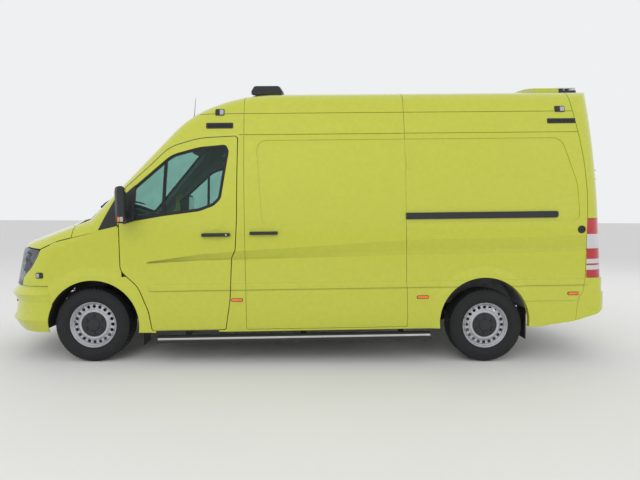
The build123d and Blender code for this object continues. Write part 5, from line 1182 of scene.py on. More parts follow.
class VAN_OT_headlamps(bpy.types.Operator):
    """Build the headlamps' lenses, housings and reflectors"""
    bl_idname = "van.headlamps"
    bl_label = "Headlamps"

    def execute(self, context):
        lamp = Build("headlamp_units")
        lens = Build("headlamp_lenses")
        for _, way in SIDES:
            points, faces, normals = parted("headlamps", way)
            skin_faces, inner = [], []
            for face, normal in zip(faces, normals):
                outward = normal.y * way
                ahead = normal.x > LENS_AHEAD[0] and outward > LENS_AHEAD[1]
                (skin_faces if outward > LENS_OUTWARD or ahead else inner).append(face)
            lens.add(shell_of(points, skin_faces, LENS_THICKNESS), "lamp_clear")
            lamp.add(shell_of(points, inner, HOUSING_THICKNESS), "lamp_chrome")
            front = drape(facing(NOSE_X, 1, way), "headlamps", reach=400)
            for y, z, radius, back in HEADLAMP_BOWLS:
                place = about(front(y, z, -back), forward=True)
                lamp.add(lathe(bowl(radius, HEADLAMP_BOWL_DEPTH), place, 48), "reflector")
                lamp.add(lathe(projector(radius), place, 32), "lens_grey")
            y0, z0 = HEADLAMP_STRIP_START
            strip = [front(y, z0 + (y - y0) * HEADLAMP_STRIP_RISE, HEADLAMP_STRIP_OUT)
                     for y in HEADLAMP_STRIP_Y]
            lamp.add(tube(strip, 9, 12), "reflector")
        lamp.done(VAN, ["headlamps"])
        lens.done(VAN)
        return {"FINISHED"}


class VAN_OT_side_lamps(bpy.types.Operator):
    """Build the side markers, corner lamps, lamp strips, flashers and round sockets"""
    bl_idname = "van.side_lamps"
    bl_label = "Side lamps"

    def execute(self, context):
        lamps = Build("side_lamp_units")
        for _, way in SIDES:
            place = on_side(way)
            for limits in SIDE_MARKERS:
                lamps.blocks(framed(limits, MARKER_BASE, MARKER_LENS, MARKER_RIM), place)
            for limits in CORNER_LAMPS:
                lamps.blocks(framed(limits, CORNER_BASE, CORNER_LENS, CORNER_RIM, -1), place)
            for limits in STRIP_LAMPS:
                lamps.blocks(strip_blocks(limits), place)
            nose = drape(place, "fenders", "headlamps", reach=300)
            lamps.blocks(framed(FLASHER, FLASHER_BASE, FLASHER_LENS, FLASHER_RIM, 1), nose)
            face = shifted(place, *SOCKET)
            lamps.add(lathe(SOCKET_RING, face, 40), "black_plastic")
            lamps.add(lathe(SOCKET_BUSH, face, 24), "dark_mesh")
        lamps.done(VAN, ["side_lamps"])
        return {"FINISHED"}


BAR_SIDE = ((185, 2, 3), (480, 2, 3), (482, 34, 8), (452, 84, 30), (214, 84, 30), (183, 34, 8))
BAR_CUTS = (-612, -470, -330, -190, 190, 330, 470, 612)
BAR_BLANK = 3
BAR_BASE = (-606, 606, 1.5, 0, 34)
BAR_LENS = (1, 30, 90)
BAR_RIB = (0, 0, 92)
BAR_RIB_HALF = 4
BAR_STEPS = 8
BAR_BOWL = (26, 22)
BAR_LAMPS_X = (240, 300, 360, 420)
BAR_LAMP_HEIGHT = 52
BAR_FEET = [(x - 22, x + 22, y - 30, y + 30, -6, 8, 8, 3, "black_plastic")
            for y in (-560, 560) for x in (215, 450)]
REAR_LAMP_BASE = (-2756, -2574, 558, 0, 20)
REAR_LAMP_COVER = (-2752, -2576, 552, 16, 45)
REAR_BOWL = (24, 12)
REAR_LAMPS_X = (-2700, -2630)
REAR_LAMPS_Y = range(-480, 481, 120)
REAR_LAMP_HEIGHT = 34
MAST_FOOT = (1185, 0, 2418)
MAST_TIP = (1165, 0, 2632)
MAST = ((0, 16), (0.06, 12), (0.1, 3.4), (1, 1.6))


class VAN_OT_roof_lamps(bpy.types.Operator):
    """Build the light bar, the rear roof lamp and the aerial"""
    bl_idname = "van.roof_lamps"
    bl_label = "Roof lamps"

    def execute(self, context):
        bar = Build("light_bar_unit")
        line = rounded(BAR_SIDE, 4)

        def slice_of(y0, y1, inset, low, high):
            rings = []
            for k in range(BAR_STEPS + 1):
                y = y0 + (y1 - y0) * k / BAR_STEPS
                rings.append([on_roof(x, y, min(max(h, low), high))
                              for x, h in grow(line, -inset)])
            return skin(rings)
        bar.add(slice_of(*BAR_BASE), "black_plastic")
        for i, (y0, y1) in enumerate(zip(BAR_CUTS, BAR_CUTS[1:])):
            finish = "black_plastic" if i == BAR_BLANK else "dark_glass"
            bar.add(slice_of(y0 + BAR_RIB_HALF, y1 - BAR_RIB_HALF, *BAR_LENS), finish)
            if i != BAR_BLANK:
                for x in BAR_LAMPS_X:
                    place = about(on_roof(x, (y0 + y1) / 2, BAR_LAMP_HEIGHT))
                    bar.add(lathe(bowl(*BAR_BOWL), place, 24), "reflector")
        for y in BAR_CUTS:
            bar.add(slice_of(y - BAR_RIB_HALF, y + BAR_RIB_HALF, *BAR_RIB), "black_plastic")
        bar.blocks(BAR_FEET, on_roof)
        bar.done(VAN, ["light_bar"])
        rear = Build("rear_roof_lamp_unit")
        rear.add(crown_strip(*REAR_LAMP_BASE), "black_plastic")
        rear.add(crown_strip(*REAR_LAMP_COVER), "lamp_clear")
        for y in REAR_LAMPS_Y:
            for x in REAR_LAMPS_X:
                place = about(on_roof(x, y, REAR_LAMP_HEIGHT))
                rear.add(lathe(bowl(*REAR_BOWL), place, 24), "reflector")
        rear.done(VAN, ["roof_box_lamp"])
        mast = Build("aerial")
        foot, tip = row(*MAST_FOOT), row(*MAST_TIP)
        mast.add(tapered(foot, tip, MAST, 16), "black_plastic")
        mast.done(VAN)
        return {"FINISHED"}


def crown_strip(x0, x1, half, low, high):
    """Band across the roof between two heights, its top edges eased."""
    line = oblong(x0, x1, -half, half, 20)
    return plate(line, ((0, low), (0, high - 6), (-2, high - 2), (-6, high)), on_roof)


# Wipers, steps and rear fittings

WIPERS = ((640, 120, 590), (-60, -560, -90))
WIPER_PARTS = 14
WIPER_DROP = 1010
WIPER_RISE = 26
WIPER_BLADE = (9, 4.5)
WIPER_SPINE = (18, 7)
WIPER_SPINE_RISE = 6
WIPER_TIP = 3
WIPER_ARM_OUT = 30
WIPER_ARM = ((0, 13), (0.2, 10), (0.6, 7), (1, 6))
WIPER_ROOT_DROP = 1034
WIPER_ROOT_OUT = 16
WIPER_ROOT = ((0, -14), (15, -14), (17, -4), (15, 6), (8, 9), (0, 9))


class VAN_OT_wipers(bpy.types.Operator):
    """Build the wipers with their arms and roots"""
    bl_idname = "van.wipers"
    bl_label = "Wipers"

    def execute(self, context):
        screen = drape(on_screen, "windscreen")
        wipers = Build("wipers")
        for start, end, pivot in WIPERS:
            line = [(start + (end - start) * k / WIPER_PARTS,
                     WIPER_DROP - WIPER_RISE * k / WIPER_PARTS) for k in range(WIPER_PARTS + 1)]
            height, radius = WIPER_BLADE
            run = [screen(y, drop, height) for y, drop in line]
            wipers.add(tube(run, radius, 8), "rubber")
            height, radius = WIPER_SPINE
            spine = [screen(y, drop, height + WIPER_SPINE_RISE * math.sin(
                math.pi * k / WIPER_PARTS)) for k, (y, drop) in enumerate(line)]
            radii = [WIPER_TIP] + [radius] * (WIPER_PARTS - 1) + [WIPER_TIP]
            wipers.add(tube(spine, radii, 8), "black_plastic")
            middle = screen((start + end) / 2, WIPER_DROP - WIPER_RISE / 2, WIPER_ARM_OUT)
            root = screen(pivot, WIPER_ROOT_DROP, WIPER_ROOT_OUT)
            wipers.add(tapered(root, middle, WIPER_ARM, 10), "black_plastic")
            wipers.add(lathe(WIPER_ROOT, about(root), 24), "black_plastic")
        wipers.done(VAN)
        return {"FINISHED"}


STEP_X = (-1170.0, 1329.0)
STEP_EDGE_Y = 1040.0
STEP_TOP_Z = 240.0
STEP_EDGE = ((*STEP_X, 216, 234, -1, 4, 8, 2, "aluminium"),)
STEP_RIBS = [(STEP_X[0] + 20, STEP_X[1] - 20, y - 4, y + 4, -1, 3, 3, 1, "rubber")
             for y in (965, 980, 995, 1010, 1025)]
STEP_END = ((953, 1037, 189, 236, 9, 15, 10, 3, "black_plastic"),)


class VAN_OT_step_treads(bpy.types.Operator):
    """Build the steps' bright edges, ribbed treads and end caps"""
    bl_idname = "van.step_treads"
    bl_label = "Step treads"

    def execute(self, context):
        treads = Build("step_treads")
        for _, way in SIDES:
            treads.blocks(STEP_EDGE, beside(STEP_EDGE_Y, way))
            treads.blocks(STEP_RIBS, level(STEP_TOP_Z, way))
            for x in STEP_X:
                treads.blocks(STEP_END, facing(x, math.copysign(1, x), way))
        treads.done(VAN)
        return {"FINISHED"}


REAR_HANDLE = (
    (40, 250, 1090, 1180, -4, 10, 16, 5, "black_plastic"),
    (60, 230, 1112, 1142, 8, 30, 10, 5, "black_plastic"),
    (205, 225, 1150, 1170, 8, 13, 9, 2, "aluminium"),
    (24, 40, 2120, 2190, -2, 12, 6, 3, "black_plastic"),
)
PLATE_HOLDER = (
    (90, 640, 830, 960, -3, 8, 10, 3, "black_plastic"),
    (105, 625, 840, 950, 4, 10.5, 6, 1, "white_plastic"),
    (208, 272, 968, 992, -2, 20, 6, 4, "black_plastic"),
    (458, 522, 968, 992, -2, 20, 6, 4, "black_plastic"),
)
HIGH_BRAKE_LAMP = (
    (-150, 150, 2336, 2366, -4, 12, 10, 4, "black_plastic"),
    (-138, 138, 2342, 2360, 8, 16, 7, 2, "lamp_red_plain"),
)
BUMPER_DECK_Z = 586.0
BUMPER_RIBS = [(x - 4, x + 4, -640, 640, -3, 3, 3, 1, "rubber")
               for x in (-2905, -2888, -2871, -2854)]
BUMPER_REFLECTORS = (
    (-760, -640, 470, 505, -3, 7, 10, 3, "lamp_red_plain"),
    (640, 760, 470, 505, -3, 7, 10, 3, "lamp_red_plain"),
)


class VAN_OT_rear_fittings(bpy.types.Operator):
    """Build the rear doors' handle, plate holder, brake lamp and the bumper's tread"""
    bl_idname = "van.rear_fittings"
    bl_label = "Rear fittings"

    def execute(self, context):
        door = Build("rear_door_handle")
        door.blocks(REAR_HANDLE, drape(lambda y, z, out: on_tail(-y, z, out), "rear_door_right",
                                       reach=60))
        door.done("rear_door_right_body")
        plate_holder = Build("plate_holder")
        plate_holder.blocks(PLATE_HOLDER, drape(on_tail, "rear_door_left", reach=60))
        plate_holder.done("rear_door_left_body")
        top = Build("high_brake_lamp")
        top.blocks(HIGH_BRAKE_LAMP, drape(on_tail, "roof", "tail_frame", reach=120))
        top.done(VAN)
        bumper = Build("bumper_treads")
        bumper.blocks(BUMPER_RIBS, drape(level(BUMPER_DECK_Z), "rear_bumper", reach=60))
        bumper.blocks(BUMPER_REFLECTORS, drape(on_tail, "rear_bumper", reach=150))
        bumper.done(VAN)
        return {"FINISHED"}


# Cabin

SEATS = ((470.0, 520.0, "driver"), (-380.0, 760.0, "passenger"))
SEAT_PARTS = (
    ("cushion", ((800, 828, 30), (1258, 828, 40), (1262, 940, 45), (1150, 944, 200),
                 (905, 930, 30), (812, 930, 30)), 18.0),
    ("back", ((812, 948, 40), (900, 952, 40), (868, 1120, 200), (784, 1466, 40),
              (684, 1466, 40), (752, 1120, 200)), 18.0),
)
HEAD_PAD = ((672, 1492, 30), (650, 1632, 30), (712, 1638, 30), (750, 1496, 30))
HEAD_PAD_HALF = 106.0
HEAD_PAD_INSET = 16.0
SEAM_IN = 5.0
SEAM_FULL = 16.0
PAD_VOXEL = 0.013
PAD_CAP = 0.012
PAD_FRAMES = 20
PAD_PRESSURE = 4.0
CLOTH_QUALITY = 4
CLOTH_MASS = 0.3
PAD_EDGE = 14.0
CHANNEL_IN = 100.0
CHANNEL_DEPTH = 0.007
CHANNEL_HALF = 0.009
WIDE_SEAT = 600.0
CUSHION_CHANNEL_X = 1150.0
BACK_CHANNEL_Z = 1360.0
LEAN = 0.0178
LEAN_X = 1.951
HEAD_POST_Y = 62.0
HEAD_POST = ((728, 1462), (700, 1510))
SEAT_SHELL_IN = 12.0
SEAT_SHELL = (
    (805, 1130, 834, 868, -6, 8, 14, 4, "trim_grey"),
    (780, 850, 880, 950, -6, 8, 30, 4, "trim_grey"),
)


def pad_start(line, y, half, inset):
    """Closed form of one pad before it is filled."""
    steps = ((-half, -inset), (-half + SEAM_IN, -inset * 0.4), (-half + SEAM_FULL, 0),
             (-half * 0.5, 0), (0, 0), (half * 0.5, 0), (half - SEAM_FULL, 0),
             (half - SEAM_IN, -inset * 0.4), (half, -inset))
    closed = rounded(line, 5, 40.0)
    return skin([[row(x, y + across, z) for x, z in grow(closed, d)] for across, d in steps])


def inflated(shape):
    """Form remeshed and filled by a short cloth run, each point's way held to a cap."""
    scene = bpy.context.scene
    mesh = bpy.data.meshes.new("pad")
    mesh.from_pydata([tuple(p) for p in shape[0]], [], shape[1])
    work = bmesh.new()
    work.from_mesh(mesh)
    bmesh.ops.recalc_face_normals(work, faces=work.faces)
    work.to_mesh(mesh)
    work.free()
    pad = placed("pad", mesh)
    remesh = pad.modifiers.new("remesh", "REMESH")
    remesh.mode = "VOXEL"
    remesh.voxel_size = PAD_VOXEL
    pad.data = applied(pad)
    before = [v.co.copy() for v in pad.data.vertices]
    cloth = pad.modifiers.new("cloth", "CLOTH")
    cloth.settings.quality = CLOTH_QUALITY
    cloth.settings.mass = CLOTH_MASS
    cloth.settings.use_pressure = True
    cloth.settings.uniform_pressure_force = PAD_PRESSURE
    cloth.settings.effector_weights.gravity = 0.0
    cloth.point_cache.frame_start = 1
    cloth.point_cache.frame_end = PAD_FRAMES
    for frame_number in range(1, PAD_FRAMES + 1):
        scene.frame_set(frame_number)
    filled = applied(pad)
    for vert, old in zip(filled.vertices, before):
        way = vert.co - old
        if way.length > PAD_CAP:
            vert.co = old + way * (PAD_CAP / way.length)
    pad.data = filled
    scene.frame_set(1)
    return pad


def sewn(pad, lines):
    """Press sewn channels into a pad: each line gives the frame's x or y, or a level height."""
    mesh = pad.data
    normals = [v.normal.copy() for v in mesh.vertices]
    for vert, normal in zip(mesh.vertices, normals):
        for kind, at in lines:
            height = vert.co.z + LEAN * (vert.co.x - LEAN_X)
            value = {"x": vert.co.x, "y": vert.co.y, "z": height}[kind]
            gap = abs(value - at / 1000)
            if gap < CHANNEL_HALF:
                vert.co -= normal * CHANNEL_DEPTH * (1 - (gap / CHANNEL_HALF) ** 2)


class VAN_OT_seats(bpy.types.Operator):
    """Build the seats' pads, each filled by a short cloth run, and their fittings"""
    bl_idname = "van.seats"
    bl_label = "Seats"

    def execute(self, context):
        gone = "seats"
        for y, width, name in SEATS:
            for part, line, inset in SEAT_PARTS:
                pad = inflated(pad_start(line, y, width / 2 - PAD_EDGE, inset))
                side = width / 2 - CHANNEL_IN
                lines = [("y", y - side), ("y", y + side)]
                if width > WIDE_SEAT:
                    lines.append(("y", y))
                lines.append(("x", CUSHION_CHANNEL_X) if part == "cushion"
                             else ("z", BACK_CHANNEL_Z))
                sewn(pad, lines)
                self.keep(pad, f"{name}_seat_{part}", gone)
                gone = ""
            head = inflated(pad_start(HEAD_PAD, y, HEAD_PAD_HALF, HEAD_PAD_INSET))
            self.keep(head, f"{name}_seat_head_pad", gone)
            fittings = Build(f"{name}_seat_fittings")
            for way in (-1, 1):
                post = [row(x, y + way * HEAD_POST_Y, z) for x, z in HEAD_POST]
                fittings.add(tube(post, 6, 12), "steel")
                fittings.blocks(SEAT_SHELL, beside(way * y + width / 2 - SEAT_SHELL_IN, way))
            fittings.done(VAN)
        return {"FINISHED"}

    def keep(self, pad, name, replaced):
        """Finish a pad as its own piece."""
        smooth = pad.modifiers.new("smooth", "SUBSURF")
        smooth.levels = 1
        smooth.render_levels = 1
        mesh = applied(pad)
        pad.data = mesh
        pad.name = name
        mesh.materials.clear()
        mesh.materials.append(MATERIALS["fabric"])
        mesh.polygons.foreach_set("use_smooth", [True] * len(mesh.polygons))
        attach(pad, VAN)
        if replaced:
            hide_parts(replaced)


STEER_TOP = (1290.0, 470.0, 1190.0)
STEER_FOOT = (1690.0, 470.0, 905.0)
STEER_RADIUS = 185.0
STEER_STEPS = 96
GRIP_STEPS = 20
GRIP = 14.0
GRIP_SWELL = 1.3
GRIP_SWELL_AT = 0.45
GRIP_SWELL_HALF = 0.14
SPOKES = ((0, 54), (math.pi, 54), (-math.pi / 2, 62))
SPOKE_STATIONS = ((40, 1.0, 7), (90, 0.8, 6), (140, 0.6, 3), (176, 0.62, 1))
SPOKE_HALF = 9
HORN_PAD = ((-92, 46, 34), (92, 46, 34), (70, -66, 40), (-70, -66, 40))
HORN_SECTION = ((-8, -24), (0, -10), (0, 8), (-5, 16), (-16, 20))
STEER_BOSS = ((0, -46), (44, -46), (48, -20), (48, -10), (0, -10))


class VAN_OT_steering(bpy.types.Operator):
    """Build the steering wheel with its padded grip, spokes and centre"""
    bl_idname = "van.steering"
    bl_label = "Steering wheel"

    def execute(self, context):
        wheel = Build("moulded_steering_wheel")
        top, foot = row(*STEER_TOP), row(*STEER_FOOT)
        out = (top - foot).normalized()
        side = Vector((0, 1, 0))
        lift = out.cross(side).normalized()
        if lift.z < 0:
            lift = -lift
        place = lambda u, v, h: top + (side * u + lift * v + out * h) / 1000
        rings = []
        for k in range(STEER_STEPS):
            angle = 2 * math.pi * k / STEER_STEPS
            near = (abs(math.sin(angle)) - GRIP_SWELL_AT) / GRIP_SWELL_HALF
            grip = GRIP + GRIP_SWELL * math.exp(-near ** 2)
            ring = []
            for j in range(GRIP_STEPS):
                a = 2 * math.pi * j / GRIP_STEPS
                radius = STEER_RADIUS + grip * math.cos(a)
                ring.append(place(radius * math.cos(angle), radius * math.sin(angle),
                                  grip * 1.05 * math.sin(a)))
            rings.append(ring)
        wheel.add(skin(rings, around=True), "rubber")
        for angle, width in SPOKES:
            du, dv = math.cos(angle), math.sin(angle)
            rings = []
            for r, share, h in SPOKE_STATIONS:
                half = width * share / 2
                ends = rounded([(-half, h - SPOKE_HALF, 5), (half, h - SPOKE_HALF, 5),
                                (half, h + SPOKE_HALF, 5), (-half, h + SPOKE_HALF, 5)], 4)
                rings.append([place(r * du - a * dv, r * dv + a * du, b) for a, b in ends])
            wheel.add(skin(rings), "trim_grey")
        wheel.add(plate(rounded(HORN_PAD), HORN_SECTION, place, 3), "trim_grey")
        wheel.add(lathe(STEER_BOSS, place, 40), "black_plastic")
        wheel.done("steering_wheel_body", ["steering_wheel"])
        return {"FINISHED"}


CABIN_MIDDLE = Vector((1.05, 0.0, 1.45))
LINING = 0.0025
LINING_TURN = 0.15


def lined(name, keep):
    """Thin lining on those faces of a node that look into the cabin."""
    mesh = frame["nodes"][name].data
    spots, outward, faces = [], [], []
    known = {}
    for face in mesh.polygons:
        way = (CABIN_MIDDLE - face.center).normalized()
        if not keep(face.center) or face.normal.dot(way) < LINING_TURN:
            continue
        corners = []
        for i in face.vertices:
            point = mesh.vertices[i].co
            key = tuple(round(c, 5) for c in point)
            if key not in known:
                known[key] = len(spots)
                spots.append(point.copy())
                outward.append(Vector())
            outward[known[key]] += face.normal
            corners.append(known[key])
        if len(set(corners)) > 2:
            faces.append(corners)
    count = len(spots)
    raised = [p + n.normalized() * LINING for p, n in zip(spots, outward)]
    ends = dict.fromkeys((a, b) for face in faces for a, b in zip(face, face[1:] + face[:1]))
    walls = [(a, b, b + count, a + count) for a, b in ends if (b, a) not in ends]
    closed = [tuple(reversed(face)) for face in faces]
    closed += [tuple(i + count for i in face) for face in faces]
    return spots + raised, closed + walls


COWL = ((320, 1290, 40), (620, 1290, 40), (600, 1372, 60), (340, 1372, 60))
COWL_RINGS = ((1660, -30), (1640, -6), (1560, 0), (1520, 0), (1516, -3), (1516, -10),
              (1545, -14))
DIALS_Y = (400, 540)
DIAL_X = 1540.0
DIAL_Z = 1318.0
DIAL = ((0, -4), (44, -4), (44, 3), (41, 6), (38, 3), (0, 3))
DASH_FACE_X = 1512.0
DISPLAY = (
    (-130, 130, 1236, 1352, -30, 8, 14, 4, "black_plastic"),
    (-112, 112, 1250, 1340, 4, 10, 8, 1, "dark_glass"),
)
VENTS_Y = (-760, -250, 212, 740)
VENT = (1196, 1262, -14, 14, 18, 4)
VENT_HALF = 62
SLATS = 5
SLAT_FROM_Z = 1206
SLAT_STEP = 11.5
SLAT_OUT = 14
SLAT_BAR = (104, 5, 3)
CONSOLE = (-150, 150, 1000, 1225, 30)
CONSOLE_SECTION = ((0, -60), (0, 6), (-6, 14), (-12, 15))
CONSOLE_X = 1556.0
CONSOLE_LEAN = 0.2
KNOBS_Y = (-80, 0, 80)
KNOB_Z = 1060
KNOB_IN = 15
KNOB = ((0, -4), (24, -4), (22, 14), (19, 17), (0, 17))
LEVER = ((1460, 10, 1100), (1430, 10, 1150), (1420, 10, 1196))
LEVER_RADII = (9, 8, 8)
LEVER_TOP = (1418, 10, 1204)
LEVER_BALL = ((0, -22), (14, -20), (24, -4), (26, 8), (20, 20), (8, 26), (0, 27))
CABIN_MIRROR_X = 1190.0
CABIN_MIRROR = (
    (-115, 115, 2052, 2122, -14, 10, 26, 8, "black_plastic"),
    (-106, 106, 2060, 2114, 6, 11.5, 20, 1, "mirror"),
)
CABIN_MIRROR_STEM = ((1204, 0, 2088), (1240, 0, 2120), (1290, 0, 2140))
VISORS_Y = (420, -420)
VISOR_X = 1150.0
VISOR_Z = 2150.0
VISOR_FALL = (0.8, 0.6)
VISOR_OUT = 0.5
VISOR = ((-210, 210, 0, 150, -6, 9, 30, 7, "trim_grey"),)
LINED_NODES = ("cab_frame", "roof", "body_side_left", "body_side_right")
LINED_FROM_X = 0.618
LINED_FROM_Z = 0.95
LINED_HALF = 0.93
LINED_DOOR_TO_X = 1.60
CARD = ((760, 520, 60), (1480, 520, 120), (1600, 900, 80), (1610, 1235, 30), (735, 1235, 30))
CARD_SECTION = ((0, -2), (0, 6), (-5, 10), (-30, 11))
CARD_IN = 58.0
CARD_PARTS = (
    (900, 1330, 960, 1036, 8, 54, 30, 14, "fabric"),
    (860, 1450, 560, 760, 8, 40, 40, 12, "black_plastic"),
    (1390, 1500, 1080, 1130, 8, 20, 20, 5, "aluminium"),
)


class VAN_OT_cabin(bpy.types.Operator):
    """Build the dashboard's fittings, the mirror, the visors, the linings and the door cards"""
    bl_idname = "van.cabin"
    bl_label = "Cabin fittings"

    def execute(self, context):
        self.dashboard()
        self.overhead()
        cover = Build("cabin_lining")
        for name in LINED_NODES:
            cover.add(lined(name, lambda c: c.x > LINED_FROM_X and c.z > LINED_FROM_Z
                            and abs(c.y) < LINED_HALF), "liner_grey")
        cover.done(VAN)
        for side, way in SIDES:
            frame_cover = Build(f"door_lining_{side}")
            frame_cover.add(lined(f"door_{side}", lambda c: c.x < LINED_DOOR_TO_X), "liner_grey")
            frame_cover.done(f"door_{side}_body")
            card = Build(f"door_card_{side}")
            inner = lambda x, z, out, way=way: row(x, way * (side_y(z) - CARD_IN - out), z)
            card.add(plate(rounded(CARD), CARD_SECTION, inner, 3), "trim_grey")
            card.blocks(CARD_PARTS, inner)
            card.done(f"door_{side}_body")
        return {"FINISHED"}

    def dashboard(self):
        """Cowl with its dials, display, vents, console and gear lever."""
        dash = Build("dashboard_fittings")
        cowl = rounded(COWL)
        dash.add(skin([[row(x, y, z) for y, z in grow(cowl, d)] for x, d in COWL_RINGS]),
                 "trim_grey")
        for y in DIALS_Y:
            dial = shifted(facing(DIAL_X, -1), y, DIAL_Z)
            dash.add(lathe(DIAL, dial, 40), "black_plastic")
        face = facing(DASH_FACE_X, -1)
        dash.blocks(DISPLAY, face)
        slats = []
        for y in VENTS_Y:
            dash.add(pad_box(y - VENT_HALF, y + VENT_HALF, *VENT, face), "black_plastic")
            slats.extend(spot(face, y, SLAT_FROM_Z + k * SLAT_STEP, SLAT_OUT)
                         for k in range(SLATS))
        dash.add(repeated(slats, bar_item(*SLAT_BAR), "trim_grey"), "trim_grey")
        console = lambda y, z, out: row(
            CONSOLE_X - (z - CONSOLE[2]) * CONSOLE_LEAN - out, y, z)
        dash.add(plate(oblong(*CONSOLE), CONSOLE_SECTION, console, 2), "trim_grey")
        for y in KNOBS_Y:
            knob = shifted(console, y, KNOB_Z, KNOB_IN)
            dash.add(lathe(KNOB, knob, 32), "black_plastic")
        dash.add(tube([row(*point) for point in LEVER], LEVER_RADII, 12), "black_plastic")
        dash.add(lathe(LEVER_BALL, about(row(*LEVER_TOP)), 32), "rubber")
        dash.done(VAN)

    def overhead(self):
        """Mirror on its stem, and the two visors."""
        roof = Build("cabin_mirror_and_visors")
        roof.blocks(CABIN_MIRROR, facing(CABIN_MIRROR_X, -1))
        roof.add(tube([row(*point) for point in CABIN_MIRROR_STEM], 9, 12), "black_plastic")
        for y in VISORS_Y:
            roof.blocks(VISOR, lambda a, b, out, y=y: row(
                VISOR_X + b * VISOR_FALL[0] - out * VISOR_OUT, y + a, VISOR_Z - b * VISOR_FALL[1]))
        roof.done(VAN)


# Front

MESH_Y = [y for y in range(-432, 433, 12) if abs(y) > 18]
MESH_Z = 878
MESH_OUT = -30
MESH_BAR = (290, 3.2, 3)
GRILLE_BAR_OUT = 1.5
GRILLE_BAR_RADIUS = 4
GRILLE_BARS_Z = (735, 812, 878, 944, 1021)
GRILLE_BARS_Y = range(20, 461, 20)
BUMPER_X = 2860.0
SLATS_Z = (384, 408, 432, 456)
SLATS_Y = range(-560, 561, 40)
SLATS_OUT = -34
SLATS_RADIUS = 6
ABOVE_INTAKE_Z = 500
UPRIGHTS_Y = range(-540, 541, 60)
UPRIGHTS_Z = 420
UPRIGHTS_OUT = -40
UPRIGHT_BAR = (104, 6, 5)
SENSORS_Y = (-760, -430, 430, 760)
SENSORS_Z = 560
SENSOR = ((0, -3), (13, -3), (13, 1), (11, 2.4), (9, 2), (7, 2.6), (0, 2.6))
FRONT_PLATE = (
    (-262, 262, 566, 680, -6, 10, 10, 3, "black_plastic"),
    (-256, 256, 572, 674, 6, 12, 6, 1, "white_plastic"),
)
PLATE_SCREWS_Y = (-180, 180)
PLATE_SCREWS_Z = 623
PLATE_SCREWS_OUT = 12
PLATE_SCREW = (7, 3)


class VAN_OT_front(bpy.types.Operator):
    """Build the grille's mesh, the bumper's slats, the sensors and the blank plate"""
    bl_idname = "van.front"
    bl_label = "Front fittings"

    def execute(self, context):
        front = Build("grille_mesh")
        nose = drape(facing(NOSE_X), "grille", "headlamps", reach=400)
        fine = [spot(nose, y, MESH_Z, MESH_OUT, (0, 1)) for y in MESH_Y]
        front.add(repeated(fine, bar_item(*MESH_BAR), "dark_mesh"), "dark_mesh")
        rim = drape(facing(NOSE_X), "grille", reach=400)
        for z in GRILLE_BARS_Z:
            for way in (-1, 1):
                run = [rim(way * y, z, GRILLE_BAR_OUT) for y in GRILLE_BARS_Y]
                front.add(tube(run, GRILLE_BAR_RADIUS, 8), "black_plastic")
        front.done(VAN)
        low = Build("bumper_fittings")
        skin_at = drape(facing(BUMPER_X), "front_bumper", reach=400)
        for z in SLATS_Z:
            run = [self.sunk(skin_at, y, SLATS_OUT, z) for y in SLATS_Y]
            low.add(tube(run, SLATS_RADIUS, 10), "black_plastic")
        uprights = [(self.sunk(skin_at, y, UPRIGHTS_OUT, UPRIGHTS_Z), (1, 0, 0), (0, 0, 1))
                    for y in UPRIGHTS_Y]
        low.add(repeated(uprights, bar_item(*UPRIGHT_BAR), "black_plastic"), "black_plastic")
        dots = [spot(skin_at, y, SENSORS_Z, 0) for y in SENSORS_Y]
        low.add(repeated(dots, lathe(SENSOR, local, 28), "black_plastic"), "black_plastic")
        low.blocks(FRONT_PLATE, skin_at)
        heads = [spot(skin_at, y, PLATE_SCREWS_Z, PLATE_SCREWS_OUT) for y in PLATE_SCREWS_Y]
        low.add(repeated(heads, screw(*PLATE_SCREW), "steel"), "steel")
        low.done(VAN)
        return {"FINISHED"}

    def sunk(self, place, y, out, z):
        """Point behind the bumper's face above its intake, moved to another height."""
        point = place(y, ABOVE_INTAKE_Z, out)
        return Vector((point.x, point.y, row(NOSE_X, 0, z).z))


# Stage

CAMERA_PLACE = (-0.061, 5.397, 1.410)
CAMERA_YAW = math.radians(-1.15)
CAMERA_PITCH = math.radians(3.41)
CAMERA_ROLL = math.radians(0.32)
SENSOR_WIDTH = 36.0
VIEW_END = 200.0


def camera_matrix():
    """Camera placed and turned as the photographer stood, on the left of the van."""
    ahead = Vector((math.sin(CAMERA_YAW), -math.cos(CAMERA_YAW), 0))
    right = Vector((-math.cos(CAMERA_YAW), -math.sin(CAMERA_YAW), 0))
    lift = Vector((0, 0, 1))
    view = math.cos(CAMERA_PITCH) * ahead - math.sin(CAMERA_PITCH) * lift
    up = math.sin(CAMERA_PITCH) * ahead + math.cos(CAMERA_PITCH) * lift
    right, up = (math.cos(CAMERA_ROLL) * right + math.sin(CAMERA_ROLL) * up,
                 -math.sin(CAMERA_ROLL) * right + math.cos(CAMERA_ROLL) * up)
    turned = Matrix((right, up, -view)).transposed().to_4x4()
    return Matrix.Translation(CAMERA_PLACE) @ turned


LIGHTS = (
    ("key", (2.0, 8.0, 5.5), 6.0, 190.0),
    ("fill", (-6.5, 6.0, 3.5), 5.0, 70.0),
    ("nose", (8.5, 1.0, 4.0), 4.0, 60.0),
    ("back", (-1.0, -8.0, 5.5), 6.0, 150.0),
    ("tail", (-9.0, -2.0, 4.5), 4.0, 60.0),
)


WORLD_LIGHT = 0.85
LIGHTS_AIM = (0, 0, 1.0)


